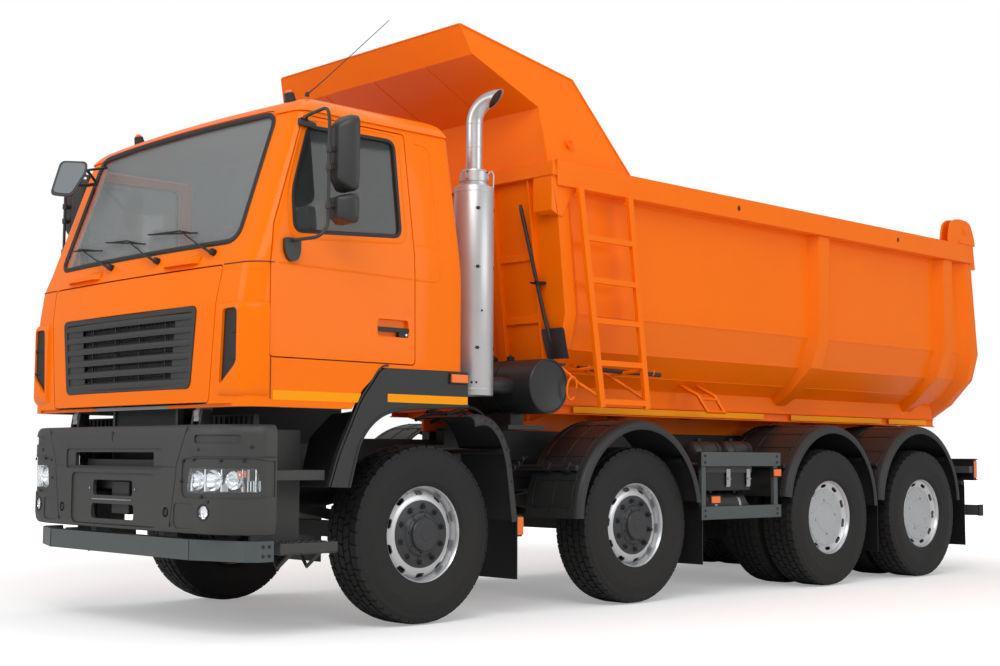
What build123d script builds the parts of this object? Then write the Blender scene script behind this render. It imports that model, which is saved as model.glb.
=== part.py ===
"""Four-axle tipper truck: chassis, tilting cab, steered front wheels and tipping bed.

Frame: +Z up, the front faces -Y, the truck's left side is +X, ground at Z = 0.
All sizes are in millimetres.
"""
import os
from math import cos, radians, sin, tan

from build123d import *

os.makedirs("parts", exist_ok=True)

# ---------------------------------------------------------------- wheels and axles
tyre_radius = 538.0
tyre_width = 312.0
tread_width = 262.0
rim_flange_radius = 298.0
rim_width = 252.0
rim_wall = 14.0
hub_radius = 140.0
axle_z = tyre_radius
front_axle_ys = (-2695.0, -752.0)
rear_axle_ys = (1503.0, 2903.0)
steer_wheel_x = 1015.0
dual_outer_x = 1095.0
dual_spacing = 350.0
kingpin_x = 880.0
kingpin_radius = 25.0
spindle_radius = 40.0
running_gap = 0.3
moving_gap = 8.0

# ---------------------------------------------------------------- chassis frame
rail_half_width = 430.0
rail_flange = 80.0
rail_web = 9.0
rail_bottom_z = 780.0
rail_top_z = 1080.0
rail_front_y = -4040.0
rail_rear_y = 3715.0
subframe_top_z = 1187.7
subframe_rear_y = rail_rear_y - 235.0
subframe_front_y = -1350.0
beam_width = 80.0

# ---------------------------------------------------------------- cab
cab_half_width = 1250.0
cab_wall = 45.0
cab_rear_y = -2475.0
door_bottom_z = 1545.0
door_gap = 7.0
panel_gap = 8.0
glass_thickness = 6.0
cab_pivot_y = -3980.0
cab_pivot_z = 1235.0
cab_pivot_x = 700.0
cab_pivot_radius = 20.0
arch_lip_x = 1190.0

# ---------------------------------------------------------------- bed
bed_hinge_y = rail_rear_y - 125.0
bed_hinge_z = 1150.0
bed_hinge_radius = 30.0
bed_wall = 10.0
bed_front_top_y = -1640.0
bed_top_z = 2785.0
rail_cap_z = 2950.0
bed_bottom_z = 1330.0
bed_half_width = 1250.0
bed_rear_y = bed_hinge_y + 260.0
bed_rear_lean = 0.15
bed_front_lean = 0.125
rail_hole_ys = (320.0, 2564.0)
rail_hole_z = 2870.0
rail_hole_radius = 20.0
gate_thickness = 80.0
gate_pin_y = bed_hinge_y + 125.0
gate_pin_z = 3075.0
gate_pin_radius = 20.0

# ---------------------------------------------------------------- tipping rams
ram_x = 215.0
ram_y = 700.0
ram_trunnion_z = 1020.0
ram_eye_z = 1190.0
ram_radii = (105.0, 88.0, 72.0, 56.0, 40.0)
ram_bottom_z = 400.0
trunnion_radius = 25.0
cheek = 20.0
ram_top_z = 1100.0


# ================================================================ profile helpers
def yz_face(points, x):
    """Closed polygon of (y, z) points in the plane at x."""
    with BuildSketch(Plane.YZ.offset(x)) as face:
        with BuildLine():
            Polyline(*points, close=True)
        make_face()
    return face.sketch


def xz_face(points, y):
    """Closed polygon of (x, z) points in the plane at y."""
    with BuildSketch(Plane.XZ.offset(-y)) as face:
        with BuildLine():
            Polyline(*points, close=True)
        make_face()
    return face.sketch


def xy_face(points, z):
    """Closed polygon of (x, y) points in the plane at z."""
    with BuildSketch(Plane.XY.offset(z)) as face:
        with BuildLine():
            Polyline(*points, close=True)
        make_face()
    return face.sketch


def yz_slab(points, x0, x1, mode=Mode.ADD):
    """Polygon of (y, z) points, thick from x0 to x1."""
    extrude(yz_face(points, x0), amount=x1 - x0, mode=mode)


def xz_slab(points, y0, y1, mode=Mode.ADD):
    """Polygon of (x, z) points, thick from y0 to y1."""
    extrude(xz_face(points, y0), amount=y0 - y1, mode=mode)


def block(x, y, z, mode=Mode.ADD):
    """Box between pairs of limits on each axis."""
    low_x, high_x = x
    low_y, high_y = y
    low_z, high_z = z
    with Locations(((low_x + high_x) / 2, (low_y + high_y) / 2, (low_z + high_z) / 2)):
        Box(high_x - low_x, high_y - low_y, high_z - low_z, mode=mode)


def rod(start, end, radius, mode=Mode.ADD):
    """Round bar between two points."""
    line = Vector(*end) - Vector(*start)
    with BuildSketch(Plane(origin=start, z_dir=line.normalized())) as face:
        Circle(radius)
    extrude(face.sketch, amount=line.length, mode=mode)


def bar_x(y, z, x0, x1, radius, mode=Mode.ADD):
    """Round bar along X."""
    rod((x0, y, z), (x1, y, z), radius, mode)


# ================================================================ chassis frame
def channel_points(side):
    """C section of a frame rail in (x, z), open towards the truck's centre."""
    outer = side * rail_half_width
    web = side * (rail_half_width - rail_web)
    lip = side * (rail_half_width - rail_flange)
    return [
        (outer, rail_bottom_z), (outer, rail_top_z), (lip, rail_top_z), (lip, rail_top_z - rail_web),
        (web, rail_top_z - rail_web), (web, rail_bottom_z + rail_web),
        (lip, rail_bottom_z + rail_web), (lip, rail_bottom_z),
    ]


with BuildPart() as frame_rails:
    for side in (-1, 1):
        xz_slab(channel_points(side), rail_front_y, rail_rear_y)
frame_rails.part.label = "frame_rails"

member_x = rail_half_width - rail_web - running_gap
# crossmember: y at its middle, lowest z, highest z
crossmember_table = ((-1580.0, 900.0, 1060.0), (-250.0, 880.0, 1060.0), (1150.0, 960.0, 1060.0),
                     (2203.0, 820.0, 1060.0), (rail_rear_y - 75.0, 820.0, 1060.0))
crossmember_depth = 90.0
nose_y = (-4065.0, -3930.0)
with BuildPart() as crossmembers:
    for middle_y, low_z, high_z in crossmember_table:
        block((-member_x, member_x), (middle_y - crossmember_depth / 2, middle_y + crossmember_depth / 2),
              (low_z, high_z))
    # front crossmember that stands on the rail ends and carries the cab's tilt pins
    block((-cab_pivot_x - 60, cab_pivot_x + 60), nose_y, (rail_top_z + running_gap, 1130.0))
    for side in (-1, 1):
        for ear_x in (-50.0, 30.0):
            low_x = side * cab_pivot_x + ear_x
            yz_slab([(cab_pivot_y - 50, 1125.0), (cab_pivot_y + 50, 1125.0),
                     (cab_pivot_y + 28, cab_pivot_z + 25), (cab_pivot_y - 28, cab_pivot_z + 25)],
                    low_x, low_x + cheek)
        bar_x(cab_pivot_y, cab_pivot_z, side * cab_pivot_x - 50, side * cab_pivot_x + 50, cab_pivot_radius)
crossmembers.part.label = "crossmembers"

sill_x = (rail_half_width - beam_width, rail_half_width)
with BuildPart() as hoist_subframe:
    for side in (-1, 1):
        near, far = sorted((side * sill_x[0], side * sill_x[1]))
        block((near, far), (subframe_front_y, subframe_rear_y), (rail_top_z + running_gap, subframe_top_z))
    for middle_y in (-1250.0, 200.0, 1150.0, 2203.0):
        block((-sill_x[0], sill_x[0]), (middle_y - 40, middle_y + 40), (1090.0, 1170.0))
    # trunnion bridge that the tipping rams swing on
    for bridge_y in (ram_y - 260, ram_y + 260):
        block((-sill_x[0], sill_x[0]), (bridge_y - 35, bridge_y + 35), (1090.0, 1150.0))
    for side in (-1, 1):
        for near_x in (ram_x - ram_radii[0] - moving_gap - cheek, ram_x + ram_radii[0] + moving_gap):
            low_x, high_x = sorted((side * near_x, side * (near_x + cheek)))
            block((low_x, high_x), (ram_y - 260, ram_y + 260), (1090.0, 1150.0))
            block((low_x, high_x), (ram_y - 60, ram_y + 60), (ram_trunnion_z - 60, 1120.0))
            bar_x(ram_y, ram_trunnion_z, low_x - 1, high_x + 1, trunnion_radius + running_gap,
                  mode=Mode.SUBTRACT)
    # rear pivot: a pair of ears with a pin on each rail
    for side in (-1, 1):
        for ear_x in (sill_x[0], sill_x[1] - cheek):
            low_x, high_x = sorted((side * ear_x, side * (ear_x + cheek)))
            ear_low_z = rail_top_z + running_gap
            yz_slab([(subframe_rear_y - 20, ear_low_z), (rail_rear_y - 15, ear_low_z),
                     (bed_hinge_y + 45, bed_hinge_z + 48), (bed_hinge_y - 45, bed_hinge_z + 48),
                     (subframe_rear_y - 20, bed_hinge_z)], low_x, high_x)
        low_x, high_x = sorted((side * sill_x[0], side * sill_x[1]))
        bar_x(bed_hinge_y, bed_hinge_z, low_x, high_x, bed_hinge_radius)
hoist_subframe.part.label = "hoist_subframe"

with BuildPart() as engine_block:
    block((-330, 330), (-3900, -2700), (700, 1400))
    block((-200, 200), (-2700, -1750), (720, 1120))
    for mount_y in (-3650.0, -2850.0):
        block((-member_x, member_x), (mount_y - 60, mount_y + 60), (880, 1000))
engine_block.part.label = "engine_block"

# ================================================================ front end on the chassis
bumper_low_z = 571.0
bumper_high_z = 1173.0
bumper_front_y = -4150.0
bumper_side_y = -3850.0
bumper_wall = 60.0
lamp_x = (700.0, 1215.0)
lamp_z = (785.0, 930.0)
lamp_rear_y = -3950.0
# tail bars carried by the rails' rear ends
tail_bar_y = rail_rear_y + 325.0
lamp_bar_y = rail_rear_y + 75.0
plate_hole_x = 200.0
plate_hole_z = 700.0
plate_hole_radius = 3.5


def bumper_outline(inset):
    """Plan outline of the bumper, drawn in from its outer face by an inset."""
    half = cab_half_width - inset
    front = bumper_front_y + inset
    right = [(755 - inset, front + 10), (half - 190, front + 38), (half, front + 215), (half, bumper_side_y)]
    return [(-x, y) for x, y in reversed(right)] + [(0, front)] + right


with BuildPart() as front_bumper:
    extrude(xy_face(bumper_outline(0), bumper_low_z), amount=bumper_high_z - bumper_low_z)
    hollow = [(x, y + (1 if y == bumper_side_y else 0)) for x, y in bumper_outline(bumper_wall)]
    extrude(xy_face(hollow, bumper_low_z - 1), amount=bumper_high_z - bumper_low_z + 2, mode=Mode.SUBTRACT)
    # air slots in the middle and a pocket for each headlamp
    block((-380, 380), (bumper_front_y - 10, bumper_front_y + 100), (930, 1010), mode=Mode.SUBTRACT)
    block((-300, 300), (bumper_front_y - 10, bumper_front_y + 100), (760, 820), mode=Mode.SUBTRACT)
    for side in (-1, 1):
        hole_x = side * plate_hole_x
        hole_end_y = bumper_front_y + bumper_wall + 10
        rod((hole_x, bumper_front_y - 5, plate_hole_z), (hole_x, hole_end_y, plate_hole_z), plate_hole_radius,
            mode=Mode.SUBTRACT)
        low_x, high_x = sorted((side * lamp_x[0], side * lamp_x[1]))
        block((low_x, high_x), (bumper_front_y - 10, lamp_rear_y), lamp_z, mode=Mode.SUBTRACT)
        # stays from the rail ends
        low_x, high_x = sorted((side * 350, side * 430))
        block((low_x, high_x), (bumper_front_y + 55, rail_front_y - running_gap), (840, 1000))
front_bumper.part.label = "front_bumper"

with BuildPart() as lamp_pockets:
    for side in (-1, 1):
        low_x, high_x = sorted((side * (lamp_x[0] + running_gap), side * (lamp_x[1] - running_gap)))
        block((low_x, high_x), (bumper_front_y - 10, lamp_rear_y - 10),
              (lamp_z[0] + running_gap, lamp_z[1] - running_gap))

with BuildPart() as lamps:
    extrude(xy_face(bumper_outline(12), lamp_z[0]), amount=lamp_z[1] - lamp_z[0])
    extrude(xy_face([(x, y + 1) for x, y in bumper_outline(bumper_wall)], lamp_z[0] - 1),
            amount=lamp_z[1] - lamp_z[0] + 2, mode=Mode.SUBTRACT)
    add(lamp_pockets.part, mode=Mode.INTERSECT)
    for side in (-1, 1):
        low_x, high_x = sorted((side * 960, side * 1200))
        block((low_x, high_x), (lamp_bar_y + 65 + running_gap, lamp_bar_y + 140), (820, 1000))
lamps.part.label = "lamps"

# front bar in plan, from the middle out to its swept end and back along its rear face
bar_low_z = 428.0
bar_high_z = 541.0
bar_front = [(800, -4110), (1150, -3985), (1205, -3930), (1205, -3830), (1170, -3830), (1170, -3912),
             (1130, -3945), (790, -4035)]
with BuildPart() as underrun_bars:
    bar_plan = bar_front + [(-x, y) for x, y in reversed(bar_front)]
    extrude(xy_face(bar_plan, bar_low_z), amount=bar_high_z - bar_low_z)
    for side in (-1, 1):
        low_x, high_x = sorted((side * 360, side * 420))
        yz_slab([(-4040, 500), (-3960, 500), (-3900, rail_bottom_z - running_gap),
                 (-4030, rail_bottom_z - running_gap)], low_x, high_x)
        yz_slab([(tail_bar_y + 5, 500), (tail_bar_y + 5, 585), (rail_rear_y, rail_bottom_z - running_gap),
                 (rail_rear_y - 180, rail_bottom_z - running_gap)], low_x, high_x)
    block((-1150, 1150), (tail_bar_y, tail_bar_y + 70), (490, 585))
    # bar that carries the tail lamps
    block((-1200, 1200), (lamp_bar_y, lamp_bar_y + 65), (880, 940))
    for side in (-1, 1):
        low_x, high_x = sorted((side * 360, side * rail_half_width))
        block((low_x, high_x), (rail_rear_y + running_gap, lamp_bar_y + 5), (880, 940))
underrun_bars.part.label = "underrun_bars"

step_x = (980.0, 1205.0)
with BuildPart() as cab_steps:
    for side in (-1, 1):
        low_x, high_x = sorted((side * step_x[0], side * step_x[1]))
        block((low_x, high_x), (-3830, -3500), (870, 920))
        block((low_x, high_x), (-3790, -3400), (460, 520))
        # side wall of the step well with a stay to the rail
        low_x, high_x = sorted((side * (step_x[0] - 20), side * step_x[0]))
        block((low_x, high_x), (-3830, -3500), (460, 1150))
        low_x, high_x = sorted((side * (rail_half_width + running_gap), side * (step_x[0] - 15)))
        block((low_x, high_x), (-3700, -3620), (880, 960))
cab_steps.part.label = "cab_steps"

# ================================================================ axles, springs and drive line
beam_end_x = kingpin_x
with BuildPart() as front_axle_beams:
    for axle_y in front_axle_ys:
        block((-beam_end_x + 50, beam_end_x - 50), (axle_y - 45, axle_y + 45), (axle_z - 50, axle_z + 50))
        for side in (-1, 1):
            rod((side * beam_end_x, axle_y, axle_z - 50), (side * beam_end_x, axle_y, axle_z + 50), 58)
    for axle_y in front_axle_ys:
        for side in (-1, 1):
            rod((side * beam_end_x, axle_y, axle_z - 60), (side * beam_end_x, axle_y, axle_z + 60),
                kingpin_radius + running_gap, mode=Mode.SUBTRACT)
front_axle_beams.part.label = "front_axle_beams"

housing_end_x = 640.0
stub_end_x = 1105.0
with BuildPart() as drive_axles:
    for axle_y in rear_axle_ys:
        bar_x(axle_y, axle_z, -housing_end_x, housing_end_x, 75)
        bar_x(axle_y, axle_z, -stub_end_x, stub_end_x, spindle_radius)
        bar_x(axle_y, axle_z, -110, 110, 215)
        rod((0, axle_y - 300, axle_z + 30), (0, axle_y, axle_z + 30), 85)
    rod((0, rear_axle_ys[0], axle_z + 30), (0, rear_axle_ys[0] + 260, axle_z + 30), 70)
drive_axles.part.label = "drive_axles"

spring_x = (395.0, 475.0)
seat_z = axle_z + 50.0


def spring_points(middle_y, half_length):
    """Side outline of a leaf pack that arches up to an eye at each end."""
    low = seat_z + running_gap
    eye_z = rail_bottom_z - 45
    return [(middle_y - 70, low), (middle_y + 70, low), (middle_y + half_length, eye_z - 25),
            (middle_y + half_length, eye_z + 20), (middle_y + 120, low + 75), (middle_y - 120, low + 75),
            (middle_y - half_length, eye_z + 20), (middle_y - half_length, eye_z - 25)]


front_spring_half = 700.0
with BuildPart() as leaf_springs:
    for axle_y in front_axle_ys:
        for side in (-1, 1):
            low_x, high_x = sorted((side * spring_x[0], side * spring_x[1]))
            yz_slab(spring_points(axle_y, front_spring_half), low_x, high_x)
            low_x, high_x = sorted((side * spring_x[0], side * rail_half_width))
            for end in (-1, 1):
                end_y = axle_y + end * (front_spring_half - 40)
                block((low_x, high_x), (end_y - 40, end_y + 40),
                      (rail_bottom_z - 70, rail_bottom_z - running_gap))
    # one inverted pack on each side rocks on a trunnion between the two drive axles
    bogie_y = sum(rear_axle_ys) / 2
    for side in (-1, 1):
        low_x, high_x = sorted((side * spring_x[0], side * spring_x[1]))
        tube_top = axle_z + 75 + running_gap
        yz_slab([(rear_axle_ys[0] - 60, tube_top), (rear_axle_ys[1] + 60, tube_top),
                 (rear_axle_ys[1] + 60, tube_top + 35), (bogie_y + 200, tube_top + 130),
                 (bogie_y - 200, tube_top + 130), (rear_axle_ys[0] - 60, tube_top + 35)], low_x, high_x)
        low_x, high_x = sorted((side * spring_x[0], side * rail_half_width))
        block((low_x, high_x), (bogie_y - 110, bogie_y + 110), (tube_top + 120, rail_bottom_z - running_gap))
leaf_springs.part.label = "leaf_springs"

with BuildPart() as drive_shafts:
    nose = (0, rear_axle_ys[0] - 307, axle_z + 30)
    rod((0, -1750 + running_gap, 800), (0, -700, 800), 50)
    rod((0, -720, 800), nose, 50)
    rod((0, rear_axle_ys[0] + 260 + running_gap, axle_z + 30),
        (0, rear_axle_ys[1] - 300 - running_gap, axle_z + 30), 45)
drive_shafts.part.label = "drive_shafts"


# ================================================================ knuckles and wheels
def knuckle(side, axle_y):
    """Steering knuckle: two ears on a kingpin, a brake flange and the wheel spindle."""
    pin = side * kingpin_x
    rod((pin, axle_y, axle_z - 105), (pin, axle_y, axle_z + 105), kingpin_radius)
    for low_z in (axle_z - 105, axle_z + 58):
        rod((pin, axle_y, low_z), (pin, axle_y, low_z + 47), 52)
        low_x, high_x = sorted((pin, side * (kingpin_x + 88)))
        block((low_x, high_x), (axle_y - 40, axle_y + 40), (low_z, low_z + 47))
    low_x, high_x = sorted((side * (kingpin_x + 68), side * (kingpin_x + 88)))
    block((low_x, high_x), (axle_y - 70, axle_y + 70), (axle_z - 105, axle_z + 105))
    bar_x(axle_y, axle_z, side * (kingpin_x + 70), side * (kingpin_x + 88), 150)
    bar_x(axle_y, axle_z, side * (kingpin_x + 80), side * (steer_wheel_x + 105), spindle_radius)


def ring(centre_x, axle_y, side, points):
    """Ring turned about the wheel's axis; points are (outboard offset, radius)."""
    origin = (centre_x, axle_y, axle_z)
    with BuildSketch(Plane(origin=origin, x_dir=(1, 0, 0), z_dir=(0, -1, 0))) as face:
        with BuildLine():
            Polyline(*[(side * offset, radius) for offset, radius in points], close=True)
        make_face()
    revolve(face.sketch, axis=Axis(origin, (1, 0, 0)))


half_tread = tread_width / 2
half_tyre = tyre_width / 2
half_rim = rim_width / 2
# tyre and rim barrel section: outboard offset, radius
tyre_and_rim = [
    (-half_rim, rim_flange_radius), (-half_tyre + 8, 345.0), (-half_tyre, 415.0), (-half_tyre + 6, 480.0),
    (-half_tread - 6, tyre_radius - 22), (-half_tread + 14, tyre_radius - 5), (0, tyre_radius),
    (half_tread - 14, tyre_radius - 5), (half_tread + 6, tyre_radius - 22), (half_tyre - 6, 480.0),
    (half_tyre, 415.0), (half_tyre - 8, 345.0), (half_rim, rim_flange_radius),
    (half_rim, rim_flange_radius - rim_wall - 8), (0, rim_flange_radius - 32),
    (-half_rim, rim_flange_radius - rim_wall - 8),
]
bore_radius = spindle_radius + running_gap


def steer_wheel(side, axle_y):
    """Single wheel with its disc bulging outboard round a closed hub."""
    centre_x = side * steer_wheel_x
    ring(centre_x, axle_y, side, tyre_and_rim)
    ring(centre_x, axle_y, side, [
        (50, 272), (92, 235), (100, hub_radius), (140, hub_radius - 10), (150, 95), (150, 0), (107, 0),
        (107, bore_radius), (-20, bore_radius), (-20, 90), (70, 90), (78, 235), (34, 272)])


def dual_wheel(side, axle_y):
    """Twin tyres on one hub; the outer disc is dished under a flat cover."""
    outer = side * dual_outer_x
    inner = side * (dual_outer_x - dual_spacing)
    ring(outer, axle_y, side, tyre_and_rim)
    ring(inner, axle_y, side, tyre_and_rim)
    ring(outer, axle_y, side, [
        (100, 276), (86, 225), (86, 0), (12, 0), (12, bore_radius), (-430, bore_radius), (-430, 200),
        (-320, 200), (-320, 120), (-242, 120), (-242, 276), (-226, 276), (-226, 120), (60, 120),
        (72, 225), (84, 276)])


def both_sides(left_part, name):
    """The left piece and its mirror image, labelled left_NAME and right_NAME."""
    with BuildPart() as right:
        mirror(left_part, about=Plane.YZ)
    left_part.label = f"left_{name}"
    right.part.label = f"right_{name}"
    return [left_part, right.part]


wheel_parts = []
for index, axle_y in enumerate(front_axle_ys, 1):
    with BuildPart() as one_knuckle:
        knuckle(1, axle_y)
    wheel_parts += both_sides(one_knuckle.part, f"knuckle_{index}")
    with BuildPart() as one_wheel:
        steer_wheel(1, axle_y)
    wheel_parts += both_sides(one_wheel.part, f"wheel_{index}")
for index, axle_y in enumerate(rear_axle_ys, 3):
    with BuildPart() as one_wheel:
        dual_wheel(1, axle_y)
    wheel_parts += both_sides(one_wheel.part, f"wheel_{index}")

# ================================================================ mudguards, tanks and guards
guard_wall = 8.0
guard_lip = 62.0
guard_outer_x = 1250.0
# arc mudguard: centre y, centre z, outer radius, start angle, end angle, inner x, flap y
guard_table = (
    (-790.0, 600.0, 662.0, 8.0, 180.0, 760.0, -50.0),
    (1545.0, 620.0, 650.0, 0.0, 172.0, 580.0, 2290.0),
    (2880.0, 620.0, 664.0, 2.0, 176.0, 580.0, 3740.0),
)
flap_bottom_z = 235.0
flap_top_z = 820.0
flap_bar_radius = 18.0
flap_outer_x = 1175.0


def arc_band(middle_y, middle_z, outer, inner, start, end, x):
    """Band between two radii, from the rear (0 degrees) over the top to the front."""
    def at(radius, angle):
        return (middle_y + radius * cos(radians(angle)), middle_z + radius * sin(radians(angle)))
    half = (start + end) / 2
    with BuildSketch(Plane.YZ.offset(x)) as face:
        with BuildLine():
            ThreePointArc(at(outer, start), at(outer, half), at(outer, end))
            Line(at(outer, end), at(inner, end))
            ThreePointArc(at(inner, end), at(inner, half), at(inner, start))
            Line(at(inner, start), at(outer, start))
        make_face()
    return face.sketch


with BuildPart() as mudguards:
    for side in (-1, 1):
        for middle_y, middle_z, outer, start, end, inner_x, flap_y in guard_table:
            sheet = arc_band(middle_y, middle_z, outer, outer - guard_wall, start, end, side * inner_x)
            extrude(sheet, amount=side * (guard_outer_x - inner_x))
            lip = arc_band(middle_y, middle_z, outer, outer - guard_lip, start, end, side * guard_outer_x)
            extrude(lip, amount=-side * guard_wall)
            # flap hung behind the wheel from its own bar
            low_x, high_x = sorted((side * (inner_x + 60), side * flap_outer_x))
            block((low_x, high_x), (flap_y - guard_wall, flap_y), (flap_bottom_z, flap_top_z))
            bar_x(flap_y - guard_wall - flap_bar_radius + 2, flap_top_z - 30,
                  side * (rail_half_width + running_gap), side * flap_outer_x, flap_bar_radius)
            # two tubes carry each guard from the rail
            for angle in (38.0, 142.0):
                tube_y = middle_y + (outer - 30) * cos(radians(angle))
                tube_z = middle_z + (outer - 30) * sin(radians(angle))
                bar_x(tube_y, tube_z, side * (rail_half_width + running_gap), side * (guard_outer_x - 4), 22)
    # rear half of the first axle's guard: outer y, z points
    half_guard = [(-2377, 1240), (-2300, 1272), (-2206, 1262), (-2130, 1190), (-2074, 1107), (-2030, 980),
                  (-2011, 856), (-1974, 604)]
    half_guard_inner = [(-2036, 604), (-2072, 850), (-2090, 965), (-2132, 1075), (-2180, 1145), (-2225, 1190),
                        (-2300, 1205), (-2377, 1180)]
    for side in (-1, 1):
        skin = half_guard + [(y - guard_wall, z - 6) for y, z in reversed(half_guard)]
        low_x, high_x = sorted((side * 760, side * 1235))
        yz_slab(skin, low_x, high_x)
        lip = half_guard + half_guard_inner
        low_x, high_x = sorted((side * 1227, side * 1235))
        yz_slab(lip, low_x, high_x)
        low_x, high_x = sorted((side * 820, side * 1215))
        block((low_x, high_x), (-1982, -1974), (flap_bottom_z, 640))
        bar_x(-2075, 1040, side * (rail_half_width + running_gap), side * 1231, 22)
mudguards.part.label = "mudguards"

with BuildPart() as chassis_tanks:
    # left: battery box over an air cylinder; right: fuel tank
    block((560, 1150), (20, 560), (760, 960))
    rod((1040, 0, 650), (1040, 580, 650), 100)
    block((rail_half_width + running_gap, 565), (200, 380), (800, 940))
    block((1000, 1080), (200, 380), (700, 765))
    block((-1150, -560), (-20, 600), (520, 960))
    block((-565, -rail_half_width - running_gap), (200, 380), (800, 940))
chassis_tanks.part.label = "chassis_tanks"

with BuildPart() as side_guards:
    for side in (-1, 1):
        low_x, high_x = sorted((side * 1190, side * 1220))
        block((low_x, high_x), (-120, 852), (943, 1046))
        block((low_x, high_x), (-120, 852), (557, 652))
        for post_y in (-100.0, 780.0):
            block((low_x, high_x), (post_y, post_y + 50), (600, 1000))
        low_x, high_x = sorted((side * (rail_half_width + running_gap), side * 1195))
        for arm_y in (-75.0, 790.0):
            block((low_x, high_x), (arm_y, arm_y + 40), (980, 1030))
side_guards.part.label = "side_guards"

# ================================================================ exhaust
stack_x = 1000.0
stack_y = -2170.0
muffler_y = -1673.0
muffler_z = 1465.0
muffler_radius = 180.0
pipe_radius = 54.0
pipe_bore = 50.0
elbow_radius = 154.0
pipe_start_z = 2820.0
elbow_start_z = 3150.0
elbow_end_z = elbow_start_z + elbow_radius
outlet_turn = 20.0
outlet_direction = Vector(1, 0, 0).rotate(Axis.Z, outlet_turn)
outlet_across = outlet_direction.rotate(Axis.Z, -90)
outlet_plane = Plane((stack_x, stack_y, 0), x_dir=outlet_direction, z_dir=outlet_across)
outlet_lip = 200.0
outlet_lean = 0.8
outlet_beyond = 300.0
pipe_start_plane = Plane((stack_x, stack_y, pipe_start_z))
slash_low_z = elbow_end_z - 75.0
slash_high_z = elbow_end_z + 80.0
slash_top = outlet_lip + outlet_lean * (slash_high_z - elbow_end_z - pipe_radius)
slash_bottom = outlet_lip - outlet_lean * (elbow_end_z + pipe_radius - slash_low_z)
with BuildPart() as exhaust_stack:
    rod((stack_x, stack_y, 1390), (stack_x, stack_y, 2730), 130)
    rod((stack_x, stack_y, 2725), (stack_x, stack_y, 2830), 95)
    with BuildLine(outlet_plane) as elbow_path:
        Line((0, pipe_start_z), (0, elbow_start_z))
        RadiusArc((0, elbow_start_z), (elbow_radius, elbow_end_z), elbow_radius)
        Line((elbow_radius, elbow_end_z), (outlet_lip + 10, elbow_end_z))
    with BuildSketch(pipe_start_plane) as pipe_section:
        Circle(pipe_radius)
        Circle(pipe_bore, mode=Mode.SUBTRACT)
    sweep(pipe_section.sketch, path=elbow_path.wire())
    with BuildSketch(outlet_plane) as outlet_slash:
        with BuildLine():
            Polyline((slash_bottom, slash_low_z), (slash_top, slash_high_z), (outlet_beyond, slash_high_z),
                     (outlet_beyond, slash_low_z), close=True)
        make_face()
    extrude(outlet_slash.sketch, amount=2 * pipe_radius, both=True, mode=Mode.SUBTRACT)
    rod((stack_x, stack_y, muffler_z), (stack_x, muffler_y - muffler_radius - running_gap, muffler_z), 55)
exhaust_stack.part.label = "exhaust_stack"

with BuildPart() as muffler_drum:
    bar_x(muffler_y, muffler_z, 520, 1200, muffler_radius)
    block((350, 1050), (-1900, -1560), (1182, 1210))
    block((560, 900), (muffler_y - 60, muffler_y + 60), (1200, 1300))
    block((350, 430), (-1900, -1560), (rail_top_z + running_gap, 1190))
muffler_drum.part.label = "muffler_drum"

# ================================================================ cab shell
# plan sections: z, half width, front y at the middle, front y at the corner, corner radius, rear y
cab_sections = (
    (1270.0, 1250.0, -4085.0, -4050.0, 130.0, -2475.0),
    (1850.0, 1250.0, -4092.0, -4052.0, 130.0, -2475.0),
    (2060.0, 1250.0, -4062.0, -4022.0, 130.0, -2475.0),
    (2180.0, 1246.0, -4022.0, -3968.0, 115.0, -2480.0),
    (2975.0, 1190.0, -3758.0, -3688.0, 70.0, -2562.0),
    (3050.0, 1115.0, -3665.0, -3605.0, 70.0, -2585.0),
    (3115.0, 880.0, -3420.0, -3390.0, 70.0, -2780.0),
)


def cab_solid(inset):
    """Ruled solid through the cab's plan sections, drawn in by an inset on every side."""
    with BuildPart() as solid:
        for level, half, front, corner, radius, rear in cab_sections:
            z = level - inset if level == cab_sections[-1][0] else level
            z = level - 1 if (inset > 0 and level == cab_sections[0][0]) else z
            x = half - inset
            turn = x - (radius - inset * 0.6)
            reach = corner + inset + (radius - inset * 0.6)
            slant = radians(45)
            bend = (radius - inset * 0.6) * (1 - cos(slant))
            with BuildSketch(Plane.XY.offset(z)):
                with BuildLine():
                    ThreePointArc((-turn, corner + inset), (0, front + inset), (turn, corner + inset))
                    ThreePointArc((turn, corner + inset), (x - bend, corner + inset + bend), (x, reach))
                    Line((x, reach), (x, rear - inset))
                    Line((x, rear - inset), (-x, rear - inset))
                    Line((-x, rear - inset), (-x, reach))
                    ThreePointArc((-x, reach), (-x + bend, corner + inset + bend), (-turn, corner + inset))
                make_face()
        loft(ruled=True)
    return solid.part


cab_outer = cab_solid(0.0)
cab_inner = cab_solid(cab_wall)
cab_clear = cab_solid(-running_gap)
glass_outer = cab_solid(12.0)
glass_inner = cab_solid(12.0 + glass_thickness)

# door leaf outline and its window: y, z
door_outline = [(-3912, door_bottom_z), (-3912, 2060), (-3878, 2278), (-3662, 2925), (-2935, 2923),
                (-2882, 2200), (-2874, door_bottom_z)]
window_outline = [(-3740, 2251), (-2981, 2300), (-3014, 2872), (-3640, 2864), (-3752, 2480)]
door_in_x = 1125.0
door_out_x = 1300.0
# wheel arch cut out of the cab's lower rear: y, z
arch_cut = [(-3340, 1200), (-3340, 1270), (-3268, 1380), (-3119, 1516), (-2300, 1520), (-2300, 1200)]
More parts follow.
